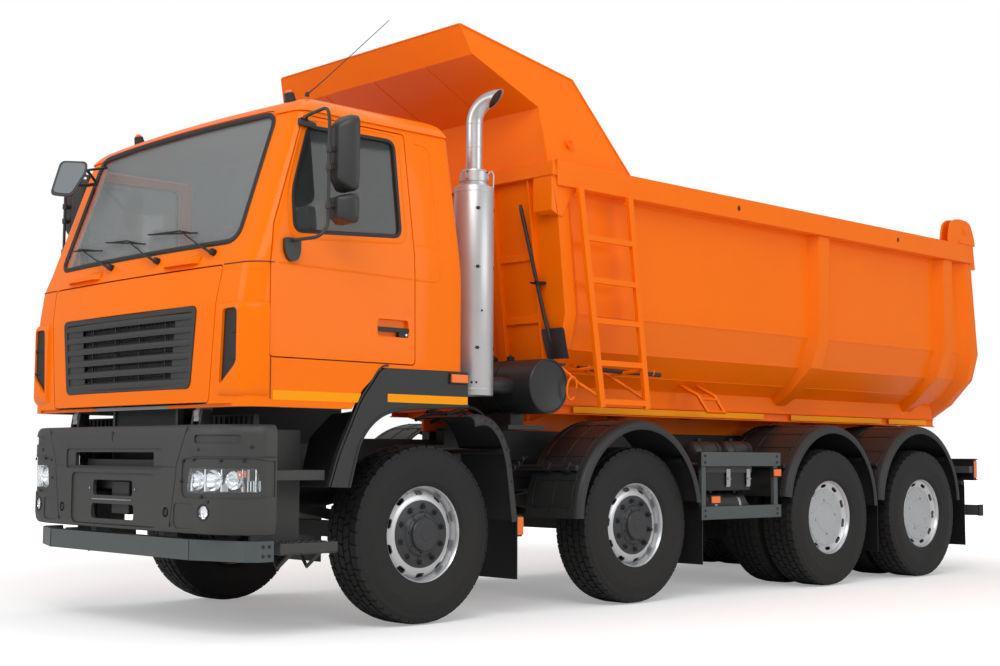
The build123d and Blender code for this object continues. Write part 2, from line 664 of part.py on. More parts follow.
# windscreen opening: x, z
screen_outline = [(-1005, 2200), (1005, 2200), (1000, 2945), (-1000, 2945)]
rear_window_outline = [(-470, 2260), (470, 2260), (470, 2740), (-470, 2740)]
panel_outline = [(-885, 1296), (885, 1296), (960, 2055), (-960, 2055)]
panel_thickness = 22.0
grille_outline = [(-714, 1376), (714, 1376), (770, 1842), (-770, 1842)]
slat_count = 6
slat_pitch = 70.0
slat_height = 38.0
lug_x = (540.0, 600.0)


def grown(points, amount):
    """Polygon points pushed out from their middle by about an amount on each axis."""
    middle_u = (min(p[0] for p in points) + max(p[0] for p in points)) / 2
    middle_v = (min(p[1] for p in points) + max(p[1] for p in points)) / 2
    return [(u + (amount if u > middle_u else -amount), v + (amount if v > middle_v else -amount))
            for u, v in points]


with BuildPart() as cab_body:
    add(cab_outer)
    add(cab_inner, mode=Mode.SUBTRACT)
    yz_slab(arch_cut, -1400, 1400, mode=Mode.SUBTRACT)
    # lower front edge, cut short of the bumper so that the cab can tip forward
    block((-1100, 1100), (-4200, -4035), (1200, 1288), mode=Mode.SUBTRACT)
    for side in (-1, 1):
        yz_slab(grown(door_outline, door_gap), side * door_in_x, side * door_out_x, mode=Mode.SUBTRACT)
    xz_slab(screen_outline, -4200, -3500, mode=Mode.SUBTRACT)
    xz_slab(rear_window_outline, -2700, -2400, mode=Mode.SUBTRACT)
    xz_slab(grown(panel_outline, panel_gap), -4200, -3950, mode=Mode.SUBTRACT)

# the roof panel sits on the walls at one of the plan sections
roof_seam_z = cab_sections[-3][0]
roof_space = ((-1400, 1400), (-4300, -2300), (roof_seam_z, roof_seam_z + 400))
with BuildPart() as cab_roof:
    add(cab_body.part)
    block(*roof_space, mode=Mode.INTERSECT)
cab_roof.part.label = "cab_roof"

with BuildPart() as cab_shell:
    add(cab_body.part)
    block(*roof_space, mode=Mode.SUBTRACT)
cab_shell.part.label = "cab_shell"

with BuildPart() as openings:
    xz_slab(screen_outline, -4200, -3500)
    xz_slab(rear_window_outline, -2700, -2400)

with BuildPart() as cab_glass:
    add(glass_outer)
    add(glass_inner, mode=Mode.SUBTRACT)
    add(openings.part, mode=Mode.INTERSECT)
cab_glass.part.label = "cab_glass"

floor_x = cab_half_width - cab_wall
with BuildPart() as cab_floor:
    block((-floor_x, floor_x), (-3900, cab_rear_y - cab_wall), (1522, 1545))
    block((-1060, 1060), (-3990, -3890), (1522, 1545))
    block((-460, 460), (-3960, cab_rear_y - cab_wall), (1530, 1700))
    block((-435, 435), (-3990, cab_rear_y), (1500, 1675), mode=Mode.SUBTRACT)
    for side in (-1, 1):
        middle = side * cab_pivot_x
        yz_slab([(cab_pivot_y - 40, cab_pivot_z - 40), (cab_pivot_y + 40, cab_pivot_z - 40),
                 (cab_pivot_y + 90, 1530), (cab_pivot_y + 20, 1530)], middle - 25, middle + 25)
        bar_x(cab_pivot_y, cab_pivot_z, middle - 25, middle + 25, 40)
        bar_x(cab_pivot_y, cab_pivot_z, middle - 30, middle + 30, cab_pivot_radius + running_gap,
              mode=Mode.SUBTRACT)
cab_floor.part.label = "cab_floor"

with BuildPart() as seats:
    for middle_x in (-760.0, 760.0):
        block((middle_x - 150, middle_x + 150), (-3380, -3000), (1545.3, 1780))
        block((middle_x - 250, middle_x + 250), (-3480, -2960), (1775, 1920))
        yz_slab([(-3020, 1850), (-2900, 1850), (-2800, 2640), (-2900, 2640)], middle_x - 240, middle_x + 240)
seats.part.label = "seats"

with BuildPart() as dashboard:
    yz_slab([(-3930, door_bottom_z + running_gap), (-3800, door_bottom_z + running_gap), (-3640, 1800),
             (-3600, 2060), (-3700, 2150), (-3880, 2160), (-3930, 2100)], -1140, 1140)
    block((-461, 461), (-3970, -3600), (1500, 1700 + running_gap), mode=Mode.SUBTRACT)
dashboard.part.label = "dashboard"

wheel_centre = (760.0, -3560.0, 2090.0)
wheel_tilt = radians(30.0)
wheel_radius = 220.0
rim_plane = Plane(origin=wheel_centre, x_dir=(1, 0, 0), z_dir=(0, sin(wheel_tilt), cos(wheel_tilt)))
section_plane = Plane(origin=wheel_centre, x_dir=(1, 0, 0), z_dir=(0, -cos(wheel_tilt), sin(wheel_tilt)))
with BuildPart() as steering_wheel:
    with BuildSketch(section_plane) as rim_section:
        with Locations((wheel_radius, 0)):
            Circle(15)
    revolve(rim_section.sketch, axis=Axis(wheel_centre, tuple(rim_plane.z_dir)))
    with BuildSketch(rim_plane) as spokes:
        Rectangle(2 * wheel_radius, 40)
        Circle(60)
    extrude(spokes.sketch, amount=-20)
    column_end = Vector(*wheel_centre) - rim_plane.z_dir * 175
    rod(wheel_centre, tuple(column_end), 30)
    add(dashboard.part, mode=Mode.SUBTRACT)
steering_wheel.part.label = "steering_wheel"

# arch trim in front of the first wheel: outer then inner line, y and z
arch_outer = [(-3480, 828), (-3420, 1007), (-3351, 1149), (-3267, 1322), (-3173, 1440), (-3119, 1515.6),
              (-2440, 1519.2)]
arch_inner = [(-2440, 1300), (-2895, 1277), (-3113, 1244), (-3264, 1105), (-3340, 823)]
with BuildPart() as wheel_arches:
    for side in (-1, 1):
        low_x, high_x = sorted((side * arch_lip_x, side * (cab_half_width + 2)))
        yz_slab(arch_outer + arch_inner, low_x, high_x)
        liner = [(-2440, 1300), (-2895, 1277), (-3113, 1244), (-3264, 1105), (-3340, 823), (-3350, 823),
                 (-3274, 1111), (-3118, 1253), (-2896, 1286), (-2440, 1309)]
        low_x, high_x = sorted((side * 760, side * arch_lip_x))
        yz_slab(liner, low_x, high_x)
wheel_arches.part.label = "wheel_arches"

# air deflector round each front corner: x, y in plan
deflector_plan = [(975, -4040), (985, -4092), (1130, -4086), (1235, -4020), (1276, -3952), (1278, -3924),
                  (1230, -3924), (1200, -4000), (1120, -4040)]
deflector_low_z = 1330.0
deflector_high_z = 1810.0
with BuildPart() as corner_deflectors:
    for side in (-1, 1):
        extrude(xy_face([(side * x, y) for x, y in deflector_plan], deflector_low_z),
                amount=deflector_high_z - deflector_low_z)
    add(cab_clear, mode=Mode.SUBTRACT)
corner_deflectors.part.label = "corner_deflectors"

# ================================================================ front panel (service flap)
with BuildPart() as front_panel:
    add(cab_outer)
    add(cab_solid(panel_thickness), mode=Mode.SUBTRACT)
    xz_slab(panel_outline, -4200, -3950, mode=Mode.INTERSECT)
    xz_slab(grown(grille_outline, running_gap), -4200, -3950, mode=Mode.SUBTRACT)
    # hinge lugs under the cowl
    for side in (-1, 1):
        low_x, high_x = sorted((side * lug_x[0], side * lug_x[1]))
        block((low_x, high_x), (-4048, -4040), (2045, panel_outline[-1][1] + panel_gap - running_gap))
front_panel.part.label = "front_panel"

with BuildPart() as grille:
    xz_slab(grille_outline, -4072, -4046)
    for index in range(slat_count):
        slat_z = 1400 + slat_pitch * index
        block((-690, 690), (-4085, -4060), (slat_z, slat_z + slat_height))
grille.part.label = "grille"

# ================================================================ doors
with BuildPart() as door:
    add(cab_outer)
    add(cab_inner, mode=Mode.SUBTRACT)
    yz_slab(door_outline, door_in_x, door_out_x, mode=Mode.INTERSECT)
    yz_slab(window_outline, door_in_x, door_out_x, mode=Mode.SUBTRACT)

with BuildPart() as door_glass:
    add(glass_outer)
    add(glass_inner, mode=Mode.SUBTRACT)
    yz_slab(window_outline, door_in_x, door_out_x, mode=Mode.INTERSECT)

mirror_arm_x = 1400.0
mirror_arm_y = -3650.0
mirror_arm_radius = 15.0
mirror_bracket_radius = 11.0
with BuildPart() as door_mirror:
    rod((mirror_arm_x, mirror_arm_y, 2190), (mirror_arm_x, mirror_arm_y, 2935), mirror_arm_radius)
    rod((1198.2, -3640, 2885), (mirror_arm_x, mirror_arm_y, 2915), mirror_bracket_radius)
    rod((1246.2, -3780, 2190), (mirror_arm_x, mirror_arm_y, 2215), mirror_bracket_radius)
    block((1340, 1495), (-3645, -3430), (2470, 2910))
    block((1340, 1495), (-3645, -3460), (2290, 2460))
door_parts = both_sides(door.part, "door")
door_parts += both_sides(door_glass.part, "door_glass")
door_parts += both_sides(door_mirror.part, "mirror")

# ================================================================ tipping bed
# outer half section of the bed's skin from the rail to the floor: x, z
bed_section = [(1140, rail_cap_z - 5), (1140, 2080), (1135, 1965), (1042, 1729), (893, 1580), (713, 1452),
               (560, bed_bottom_z)]


def bed_outline(inset):
    """Closed (x, z) outline of the trough, drawn in by an inset; open upwards when inset."""
    rim_lift = 200 if inset > 0 else 0
    right = [(x - inset, z + (inset if index else rim_lift)) for index, (x, z) in enumerate(bed_section)]
    return right + [(-x, z) for x, z in reversed(right)]


def front_y(z):
    """Outer face of the leaning front wall at height z."""
    return bed_front_top_y + bed_front_lean * (bed_top_z - z)


def rear_y(z, setback=0.0):
    """Rear face of the bed at height z, moved back by a setback."""
    return bed_rear_y + bed_rear_lean * (bed_top_z - z) + setback


# inside space between the front wall and the open rear
with BuildPart() as load_space:
    xz_slab(bed_outline(bed_wall), -2000, bed_rear_y + 650)
    yz_slab([(front_y(1000) + bed_wall, 1000), (front_y(3400) + bed_wall, 3400),
             (bed_rear_y + 650, 3400), (bed_rear_y + 650, 1000)],
            -1300, 1300, mode=Mode.INTERSECT)

with BuildPart() as bed_body:
    xz_slab(bed_outline(0), -2000, bed_rear_y + 550)
    add(load_space.part, mode=Mode.SUBTRACT)
    yz_slab([(front_y(1000), 1000), (front_y(3400), 3400), (rear_y(3400), 3400), (rear_y(1000), 1000)],
            -1300, 1300, mode=Mode.INTERSECT)
bed_body.part.label = "bed_body"

rib_outer = [(1223, bed_top_z), (1210, 1954), (1129, 1726), (902, 1507), (612, bed_bottom_z)]
rib_ys = ((1411.0, 1555.0), (3370.0, 3514.0))


def rib_half(side):
    """(x, z) outline of one rib between the bed's skin and the rib's outer line."""
    skin = [(bed_section[0][0], bed_top_z)] + bed_section[1:]
    return [(side * x, z) for x, z in rib_outer + list(reversed(skin))]


# leaning frames at the bed's front and rear ends
with BuildPart() as end_limit:
    yz_slab([(front_y(1000), 1000), (front_y(bed_top_z), bed_top_z),
             (front_y(bed_top_z) + 120, bed_top_z), (front_y(1000) + 120, 1000)], -1300, 1300)
    yz_slab([(rear_y(1000, -100), 1000), (rear_y(bed_top_z, -100), bed_top_z),
             (rear_y(bed_top_z), bed_top_z), (rear_y(1000), 1000)], -1300, 1300)

with BuildPart() as end_frames:
    for side in (-1, 1):
        xz_slab(rib_half(side), -2000, bed_rear_y + 550)
    add(end_limit.part, mode=Mode.INTERSECT)

with BuildPart() as bed_frame:
    add(end_frames.part)
    for side in (-1, 1):
        low_x, high_x = sorted((side * bed_section[0][0], side * bed_half_width))
        yz_slab([(front_y(bed_top_z), bed_top_z), (front_y(rail_cap_z), rail_cap_z),
                 (rear_y(rail_cap_z), rail_cap_z), (rear_y(bed_top_z), bed_top_z)], low_x, high_x)
        for y0, y1 in rib_ys:
            xz_slab(rib_half(side), y0, y1)
    # cross rail along the top of the front wall
    yz_slab([(front_y(2850), 2850), (front_y(2850) - 50, 2850), (front_y(2850) - 50, rail_cap_z),
             (front_y(rail_cap_z), rail_cap_z)], -bed_half_width, bed_half_width)
    # long sills under the floor, with the rear hinge eyes
    for side in (-1, 1):
        low_x, high_x = sorted((side * 375, side * 405))
        block((low_x, high_x), (-1380, bed_hinge_y + 70), (subframe_top_z + running_gap, bed_bottom_z))
        bar_x(bed_hinge_y, bed_hinge_z, low_x, high_x, 55)
        bar_x(bed_hinge_y, bed_hinge_z, low_x - 1, high_x + 1, bed_hinge_radius + running_gap,
              mode=Mode.SUBTRACT)
    # cross bearers and the ram brackets
    for middle_y in (-1200.0, -400.0, 1480.0, 2350.0, 3300.0):
        block((-560, 560), (middle_y - 40, middle_y + 40), (1255, bed_bottom_z))
    for side in (-1, 1):
        for cheek_x in (ram_x - 75, ram_x + 50):
            low_x, high_x = sorted((side * cheek_x, side * (cheek_x + 25)))
            block((low_x, high_x), (ram_y - 70, ram_y + 70), (ram_eye_z - 45, bed_bottom_z))
    block((-sill_x[1] + 25, sill_x[1] - 25), (ram_y - 70, ram_y + 70), (bed_bottom_z - 30, bed_bottom_z))
    # holes through the side rails
    for side in (-1, 1):
        for hole_y in rail_hole_ys:
            bar_x(hole_y, rail_hole_z, side * (bed_section[0][0] - 1), side * (bed_half_width + 1),
                  rail_hole_radius, mode=Mode.SUBTRACT)
    # ear plates that carry the tailgate's pins
    for side in (-1, 1):
        for ear_x in (1150.0, 1225.0):
            low_x, high_x = sorted((side * ear_x, side * (ear_x + 20)))
            yz_slab([(gate_pin_y - 255, rail_cap_z - 5), (gate_pin_y - 155, gate_pin_z + 80),
                     (gate_pin_y + 60, gate_pin_z + 80),
                     (rear_y(rail_cap_z), rail_cap_z - 5)], low_x, high_x)
        bar_x(gate_pin_y, gate_pin_z, side * 1150, side * 1245, gate_pin_radius)
bed_frame.part.label = "bed_frame"

# hood over the cab's rear: leaning side plates, a wall on the cross rail and a roof with a raised lip
hood_wall = 8.0
hood_foot_x = 1170.0
hood_lean = 12.8
hood_foot_z = rail_cap_z + 2.2
hood_side = [(-2287, 3794), (-1276, 3599), (-820, hood_foot_z), (-1660, hood_foot_z), (-1666, 3332),
             (-2222, 3603)]


def hood_x(z):
    """Half width between the hood's side plates at height z."""
    return hood_foot_x - (z - rail_cap_z) * tan(radians(hood_lean)) - 3


with BuildPart() as hood_sheets:
    yz_slab([(-1666, 3322), (-2222, 3595), (-2287, 3790), (-2278, 3793), (-2214, 3603), (-1656, 3331)],
            -hood_foot_x, hood_foot_x)
    wall_low_z = rail_cap_z + running_gap
    yz_slab([(-1664, wall_low_z), (-1672, wall_low_z), (-1672, 3328), (-1664, 3328)],
            -hood_foot_x, hood_foot_x)
    xz_slab([(-hood_x(rail_cap_z), rail_cap_z), (hood_x(rail_cap_z), rail_cap_z), (hood_x(3800), 3800),
             (-hood_x(3800), 3800)], -2400, -1600, mode=Mode.INTERSECT)

with BuildPart() as bed_canopy:
    for side in (-1, 1):
        base = Plane(origin=(side * hood_foot_x, 0, rail_cap_z), x_dir=(0, 1, 0),
                     z_dir=(side * cos(radians(hood_lean)), 0, sin(radians(hood_lean))))
        with BuildSketch(base) as plate:
            with BuildLine():
                Polyline(*[(y, (z - rail_cap_z) / base.y_dir.Z) for y, z in hood_side], close=True)
            make_face()
        extrude(plate.sketch, amount=-hood_wall)
    add(hood_sheets.part)
bed_canopy.part.label = "bed_canopy"

with BuildPart() as bed_ladder:
    for top_y, low_y in ((-1460.0, -1264.0), (-966.0, -804.0)):
        rod((1290, top_y, 2840), (1290, low_y, 1340), 20)
    for index in range(5):
        share = (index + 0.7) / 5
        z = 2840 - share * 1500
        rod((1290, -1460 + 196 * share, z), (1290, -966 + 162 * share, z), 15)
    for y in (-1458.0, -964.0):
        bar_x(y, 2815, bed_half_width + running_gap, 1290, 18)
    rod((1290, -1270, 1380), (797, -1270, 1500), 14)
    rod((1290, -810, 1380), (797, -810, 1500), 14)
bed_ladder.part.label = "bed_ladder"

gate_near = 8.0
gate_far = gate_near + gate_thickness
gate_half = 1130.0
gate_outline = [(gate_half, 2900), (1120, 1970), (1030, 1735), (880, 1585), (700, 1457), (555, 1345)]
with BuildPart() as tailgate:
    xz_slab(gate_outline + [(-x, z) for x, z in reversed(gate_outline)], bed_rear_y - 350,
            bed_rear_y + 550)
    yz_slab([(rear_y(1000, gate_near), 1000), (rear_y(3400, gate_near), 3400), (rear_y(3400, gate_far), 3400),
             (rear_y(1000, gate_far), 1000)], -1300, 1300, mode=Mode.INTERSECT)
    for side in (-1, 1):
        low_x, high_x = sorted((side * 1180, side * 1215))
        yz_slab([(gate_pin_y - 40, gate_pin_z - 40), (gate_pin_y - 40, gate_pin_z + 40),
                 (gate_pin_y + 60, gate_pin_z + 45), (rear_y(2960, gate_far), 2960),
                 (rear_y(2740, gate_far), 2740), (rear_y(2740, gate_near), 2740),
                 (rear_y(2965, gate_near), 2965),
                 (gate_pin_y + 40, gate_pin_z - 60)], low_x, high_x)
        low_x, high_x = sorted((side * (gate_half - 10), side * 1200))
        yz_slab([(rear_y(2900, gate_near), 2900), (rear_y(2900, gate_far), 2900),
                 (rear_y(2780, gate_far), 2780), (rear_y(2780, gate_near), 2780)], low_x, high_x)
        bar_x(gate_pin_y, gate_pin_z, side * 1175, side * 1220, gate_pin_radius + running_gap,
              mode=Mode.SUBTRACT)
tailgate.part.label = "tailgate"

# ================================================================ tipping rams
ram_parts = []
stage_count = len(ram_radii) - 1
with BuildPart() as ram_barrels:
    for side in (-1, 1):
        x = side * ram_x
        rod((x, ram_y, ram_bottom_z), (x, ram_y, ram_top_z), ram_radii[0])
        rod((x, ram_y, ram_bottom_z + 12), (x, ram_y, ram_top_z + 1), ram_radii[1] + 1, mode=Mode.SUBTRACT)
        for end in (-1, 1):
            start_x = x + end * (ram_radii[0] - 8)
            end_x = x + end * (ram_radii[0] + moving_gap + cheek)
            bar_x(ram_y, ram_trunnion_z, start_x, end_x, trunnion_radius)
ram_barrels.part.label = "ram_barrels"
for stage in range(1, stage_count + 1):
    radius = ram_radii[stage]
    low_z = ram_bottom_z + 12 + 6 * stage
    high_z = ram_top_z + 8 * stage
    last = stage == stage_count
    with BuildPart() as ram_stage:
        for side in (-1, 1):
            x = side * ram_x
            rod((x, ram_y, low_z), (x, ram_y, high_z), radius)
            if not last:
                rod((x, ram_y, low_z + 4), (x, ram_y, high_z + 1), ram_radii[stage + 1] + 1,
                    mode=Mode.SUBTRACT)
            else:
                bar_x(ram_y, ram_eye_z, x - 35, x + 35, 42)
                rod((x, ram_y, high_z - 5), (x, ram_y, ram_eye_z), 30)
    ram_stage.part.label = f"ram_stage_{stage}"
    ram_parts.append(ram_stage.part)

# ================================================================ output
nodes = [
    frame_rails.part, crossmembers.part, hoist_subframe.part, engine_block.part, front_bumper.part,
    lamps.part, underrun_bars.part, cab_steps.part, front_axle_beams.part, drive_axles.part,
    leaf_springs.part, drive_shafts.part, mudguards.part, chassis_tanks.part, side_guards.part,
    exhaust_stack.part, muffler_drum.part, cab_shell.part, cab_roof.part, cab_glass.part, cab_floor.part,
    seats.part, dashboard.part, steering_wheel.part, wheel_arches.part, corner_deflectors.part,
    front_panel.part, grille.part, bed_body.part, bed_frame.part, bed_canopy.part, bed_ladder.part,
    tailgate.part, ram_barrels.part,
] + ram_parts + wheel_parts + door_parts
for node in nodes:
    export_step(node, f"parts/{node.label}.step")
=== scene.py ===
"""Looks of the four-axle tipper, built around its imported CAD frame. Metres, row frame."""
import math
import random

import bmesh
import bpy
from mathutils import Matrix, Vector
from mathutils.bvhtree import BVHTree


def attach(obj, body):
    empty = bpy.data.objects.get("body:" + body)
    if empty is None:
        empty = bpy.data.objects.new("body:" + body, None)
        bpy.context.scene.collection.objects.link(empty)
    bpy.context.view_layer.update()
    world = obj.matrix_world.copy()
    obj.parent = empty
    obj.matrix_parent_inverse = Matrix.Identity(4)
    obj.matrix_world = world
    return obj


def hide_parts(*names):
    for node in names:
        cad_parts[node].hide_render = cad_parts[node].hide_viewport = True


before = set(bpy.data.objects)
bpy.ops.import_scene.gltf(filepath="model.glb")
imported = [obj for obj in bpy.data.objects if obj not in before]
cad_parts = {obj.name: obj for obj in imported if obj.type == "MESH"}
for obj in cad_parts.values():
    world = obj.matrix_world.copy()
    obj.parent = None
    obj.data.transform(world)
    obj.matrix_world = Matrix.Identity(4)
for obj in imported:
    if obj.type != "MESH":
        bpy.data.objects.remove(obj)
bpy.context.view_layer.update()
rng = random.Random(7)
SIDES = ((1, "left"), (-1, "right"))


# ---------------------------------------------------------------- materials
def linear(rgb):
    """Linear colour from display values of 0 to 255."""
    return tuple(((c / 255 + 0.055) / 1.055) ** 2.4 if c > 10.3 else c / 255 / 12.92 for c in rgb)


def node(tree, kind, **inputs):
    """New shader node with its named inputs or attributes set."""
    made = tree.nodes.new(kind)
    for key, value in inputs.items():
        if key in made.inputs:
            made.inputs[key].default_value = value
        else:
            setattr(made, key, value)
    return made


def material(name, rgb, rough=0.5, tint=0.06, scale=3.0, grain=0.0, grain_scale=300.0, spread=0.06,
             dust=0.0, **sockets):
    """Procedural finish: uneven colour and gloss, fine grain, and dust that thins out upwards."""
    mat = bpy.data.materials.new(name)
    mat.use_nodes = True
    tree = mat.node_tree
    shader = tree.nodes["Principled BSDF"]
    for key, value in sockets.items():
        shader.inputs[key.replace("_", " ")].default_value = value
    place = node(tree, "ShaderNodeTexCoord")
    cloud = node(tree, "ShaderNodeTexNoise", Scale=scale, Detail=5.0, Roughness=0.6)
    tree.links.new(place.outputs["Object"], cloud.inputs["Vector"])
    base = linear(rgb)
    mix = node(tree, "ShaderNodeMix", data_type="RGBA")
    mix.inputs[6].default_value = (*[c * (1 - tint) for c in base], 1)
    mix.inputs[7].default_value = (*[min(1, c * (1 + tint)) for c in base], 1)
    tree.links.new(cloud.outputs["Fac"], mix.inputs["Factor"])
    colour = mix.outputs[2]
    if dust:
        split = node(tree, "ShaderNodeSeparateXYZ")
        tree.links.new(place.outputs["Object"], split.inputs[0])
        fade = node(tree, "ShaderNodeMapRange")
        for key, value in (("From Min", 1.3), ("From Max", 0.1), ("To Min", 0.0), ("To Max", dust)):
            fade.inputs[key].default_value = value
        tree.links.new(split.outputs["Z"], fade.inputs["Value"])
        speck = node(tree, "ShaderNodeTexNoise", Scale=23.0, Detail=8.0)
        tree.links.new(place.outputs["Object"], speck.inputs["Vector"])
        amount = node(tree, "ShaderNodeMath", operation="MULTIPLY")
        tree.links.new(fade.outputs[0], amount.inputs[0])
        tree.links.new(speck.outputs["Fac"], amount.inputs[1])
        soil = node(tree, "ShaderNodeMix", data_type="RGBA")
        soil.inputs[7].default_value = (*linear((128, 118, 104)), 1)
        tree.links.new(colour, soil.inputs[6])
        tree.links.new(amount.outputs[0], soil.inputs["Factor"])
        colour = soil.outputs[2]
    tree.links.new(colour, shader.inputs["Base Color"])
    gloss = node(tree, "ShaderNodeMapRange")
    gloss.inputs["To Min"].default_value = max(0.02, rough - spread)
    gloss.inputs["To Max"].default_value = min(1.0, rough + spread)
    tree.links.new(cloud.outputs["Fac"], gloss.inputs["Value"])
    tree.links.new(gloss.outputs[0], shader.inputs["Roughness"])
    if grain:
        fine = node(tree, "ShaderNodeTexNoise", Scale=grain_scale, Detail=3.0)
        tree.links.new(place.outputs["Object"], fine.inputs["Vector"])
        bump = node(tree, "ShaderNodeBump", Strength=grain, Distance=0.001)
        tree.links.new(fine.outputs["Fac"], bump.inputs["Height"])
        tree.links.new(bump.outputs[0], shader.inputs["Normal"])
    return mat


M, SLOT_OF = {}, {}


def finish(name, slot, *values, **sockets):
    """Adds a material, and the slot of the pieces that wear it where it has one."""
    M[name] = material(name, *values, **sockets)
    if slot:
        SLOT_OF[name] = slot


finish("cab_orange", "cab_orange", (254, 118, 2), 0.30, 0.03, 1.5, 0.05, 60, Coat_Weight=0.13,
       Coat_Roughness=0.05, Specular_IOR_Level=0.08)
finish("bed_orange", "bed_orange", (255, 116, 2), 0.34, 0.05, 2.0, 0.10, 45, 0.09, dust=0.05,
       Coat_Weight=0.14, Coat_Roughness=0.14, Specular_IOR_Level=0.10)
finish("bumper_black", "dark_plastic", (54, 55, 54), 0.50, 0.08, 6.0, 0.35, 900, dust=0.05)
finish("arch_black", "dark_plastic", (34, 36, 36), 0.50, 0.10, 6.0, 0.30, 700, dust=0.08)
finish("frame_black", "frame_black", (34, 35, 36), 0.42, 0.15, 8.0, 0.15, 200, dust=0.15)
finish("guard_grey", "steel_grey", (72, 79, 80), 0.42, 0.06, 6.0, 0.12, 200, dust=0.06)
finish("cast_grey", "cast_grey", (44, 44, 44), 0.60, 0.25, 14.0, 0.5, 160, dust=0.25)
finish("rubber_black", "black_plastic", (24, 24, 25), 0.50, 0.10, 8.0, 0.10, 300)
finish("tyre_black", "wheel_tyre", (31, 31, 31), 0.62, 0.12, 9.0, 0.35, 260, dust=0.04,
       Specular_IOR_Level=0.3)
finish("mirror_black", "black_plastic", (44, 45, 44), 0.45, 0.08, 6.0, 0.30, 800)
finish("wheel_silver", "bright_steel", (206, 208, 210), 0.34, 0.05, 10.0, 0.08, 250, dust=0.10, Metallic=0.75)
finish("cover_silver", "bright_steel", (186, 190, 192), 0.42, 0.05, 10.0, 0.08, 250, Metallic=0.5)
finish("hub_black", "frame_black", (46, 48, 50), 0.40, 0.08, 10.0, 0.10, 200)
finish("stack_steel", "bright_steel", (196, 196, 197), 0.36, 0.07, 5.0, 0.12, 120, 0.12, Metallic=0.55)
finish("pipe_steel", "bright_steel", (200, 199, 200), 0.34, 0.08, 7.0, 0.06, 90, 0.10, Metallic=0.80)
finish("bright_steel", "bright_steel", (200, 202, 204), 0.22, 0.04, 9.0, 0.05, 300, Metallic=1.0)
finish("stripe_yellow", None, (255, 158, 0), 0.42, 0.03, 30.0, 0.2, 1500, Coat_Weight=0.05,
       Specular_IOR_Level=0.12)
finish("amber_lens", None, (255, 118, 10), 0.20, 0.05, 60.0, 0.25, 700, Coat_Weight=0.6)
finish("red_lens", None, (190, 20, 14), 0.20, 0.05, 60.0, 0.25, 700, Coat_Weight=0.6)
finish("seat_fabric", "seat_fabric", (70, 70, 74), 0.85, 0.12, 40.0, 0.6, 900, Sheen_Weight=0.3)
finish("trim_grey", "trim_grey", (150, 152, 153), 0.60, 0.05, 8.0, 0.3, 600)
finish("dash_dark", "trim_grey", (70, 72, 74), 0.55, 0.06, 8.0, 0.35, 600)
finish("mirror_glass", None, (58, 61, 63), 0.06, 0.01, 2.0, spread=0.02, Metallic=1.0)
finish("lamp_chrome", None, (232, 234, 236), 0.08, 0.02, 20.0, spread=0.04, Metallic=1.0)
finish("shovel_steel", "frame_black", (36, 36, 38), 0.45, 0.2, 30.0, 0.3, 150)
finish("lift_grey", "steel_grey", (96, 100, 104), 0.35, 0.06, 9.0, 0.1, 200)


def clear_glass(name, slot, rgb, rough, weight, solid=1.0):
    """Glass with a faint uneven gloss; solid is the share of light that it doesn't let straight through."""
    finish(name, slot, rgb, rough, 0.02, 3.0, spread=0.015, Transmission_Weight=weight, IOR=1.45, Alpha=solid)


# The same glass in two copies: the windscreen's and rear pane's near-white solid share is painted brightness
# of the light seen through and off them, and the door panes' dark, mostly solid colour is painted shade of
# the cab's inside.
clear_glass("cab_glass", "glass_clear", (226, 231, 232), 0.03, 0.0, 0.14)
clear_glass("shaded_side_glass", "glass_clear", (58, 61, 61), 0.03, 0.20, 0.84)
clear_glass("lamp_glass", "lamp_lens", (245, 248, 250), 0.02, 0.97)


# ---------------------------------------------------------------- mesh building
def put(name, bm, mat, body, bevel=0.0, segments=2, angle=32, replaces=(), smooth=True):
    """Object from a bmesh, with its finish, its body and rounded edges."""
    bmesh.ops.remove_doubles(bm, verts=bm.verts, dist=2e-5)
    bmesh.ops.dissolve_degenerate(bm, edges=bm.edges, dist=1e-5)
    loose = [v for v in bm.verts if not v.link_faces]
    bmesh.ops.delete(bm, geom=loose, context="VERTS")
    bmesh.ops.recalc_face_normals(bm, faces=bm.faces)
    limit = math.radians(angle)
    for face in bm.faces:
        face.smooth = smooth
    for edge in bm.edges:
        edge.smooth = len(edge.link_faces) == 2 and edge.calc_face_angle(0) < limit
    mesh = bpy.data.meshes.new(name)
    bm.to_mesh(mesh)
    bm.free()
    piece = bpy.data.objects.new(name, mesh)
    bpy.context.scene.collection.objects.link(piece)
    mesh.materials.append(M[mat])
    if bevel:
        edge = piece.modifiers.new("edge", "BEVEL")
        edge.width = bevel
        edge.segments = segments
        edge.limit_method = "ANGLE"
        edge.angle_limit = limit
        edge.harden_normals = True
        edge.use_clamp_overlap = True
    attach(piece, body)
    mat in SLOT_OF
    if replaces:
        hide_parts(*replaces)
    return piece


AXES = {"yz": (1, 2, 0), "xz": (0, 2, 1), "xy": (0, 1, 2)}


def prism(bm, points, plane, low, high):
    """Closed polygon in a plane, thick from low to high along the third axis."""
    a, b, c = AXES[plane]
    rings = []
    for level in (low, high):
        ring = []
        for u, v in points:
            spot = [0.0, 0.0, 0.0]
            spot[a], spot[b], spot[c] = u, v, level
            ring.append(bm.verts.new(spot))
        rings.append(ring)
    count = len(points)
    bm.faces.new(rings[0])
    bm.faces.new(reversed(rings[1]))
    for i in range(count):
        j = (i + 1) % count
        bm.faces.new((rings[0][j], rings[0][i], rings[1][i], rings[1][j]))
    return bm


def block(bm, x, y, z):
    """Box between pairs of limits."""
    return prism(bm, [(x[0], y[0]), (x[1], y[0]), (x[1], y[1]), (x[0], y[1])], "xy", z[0], z[1])


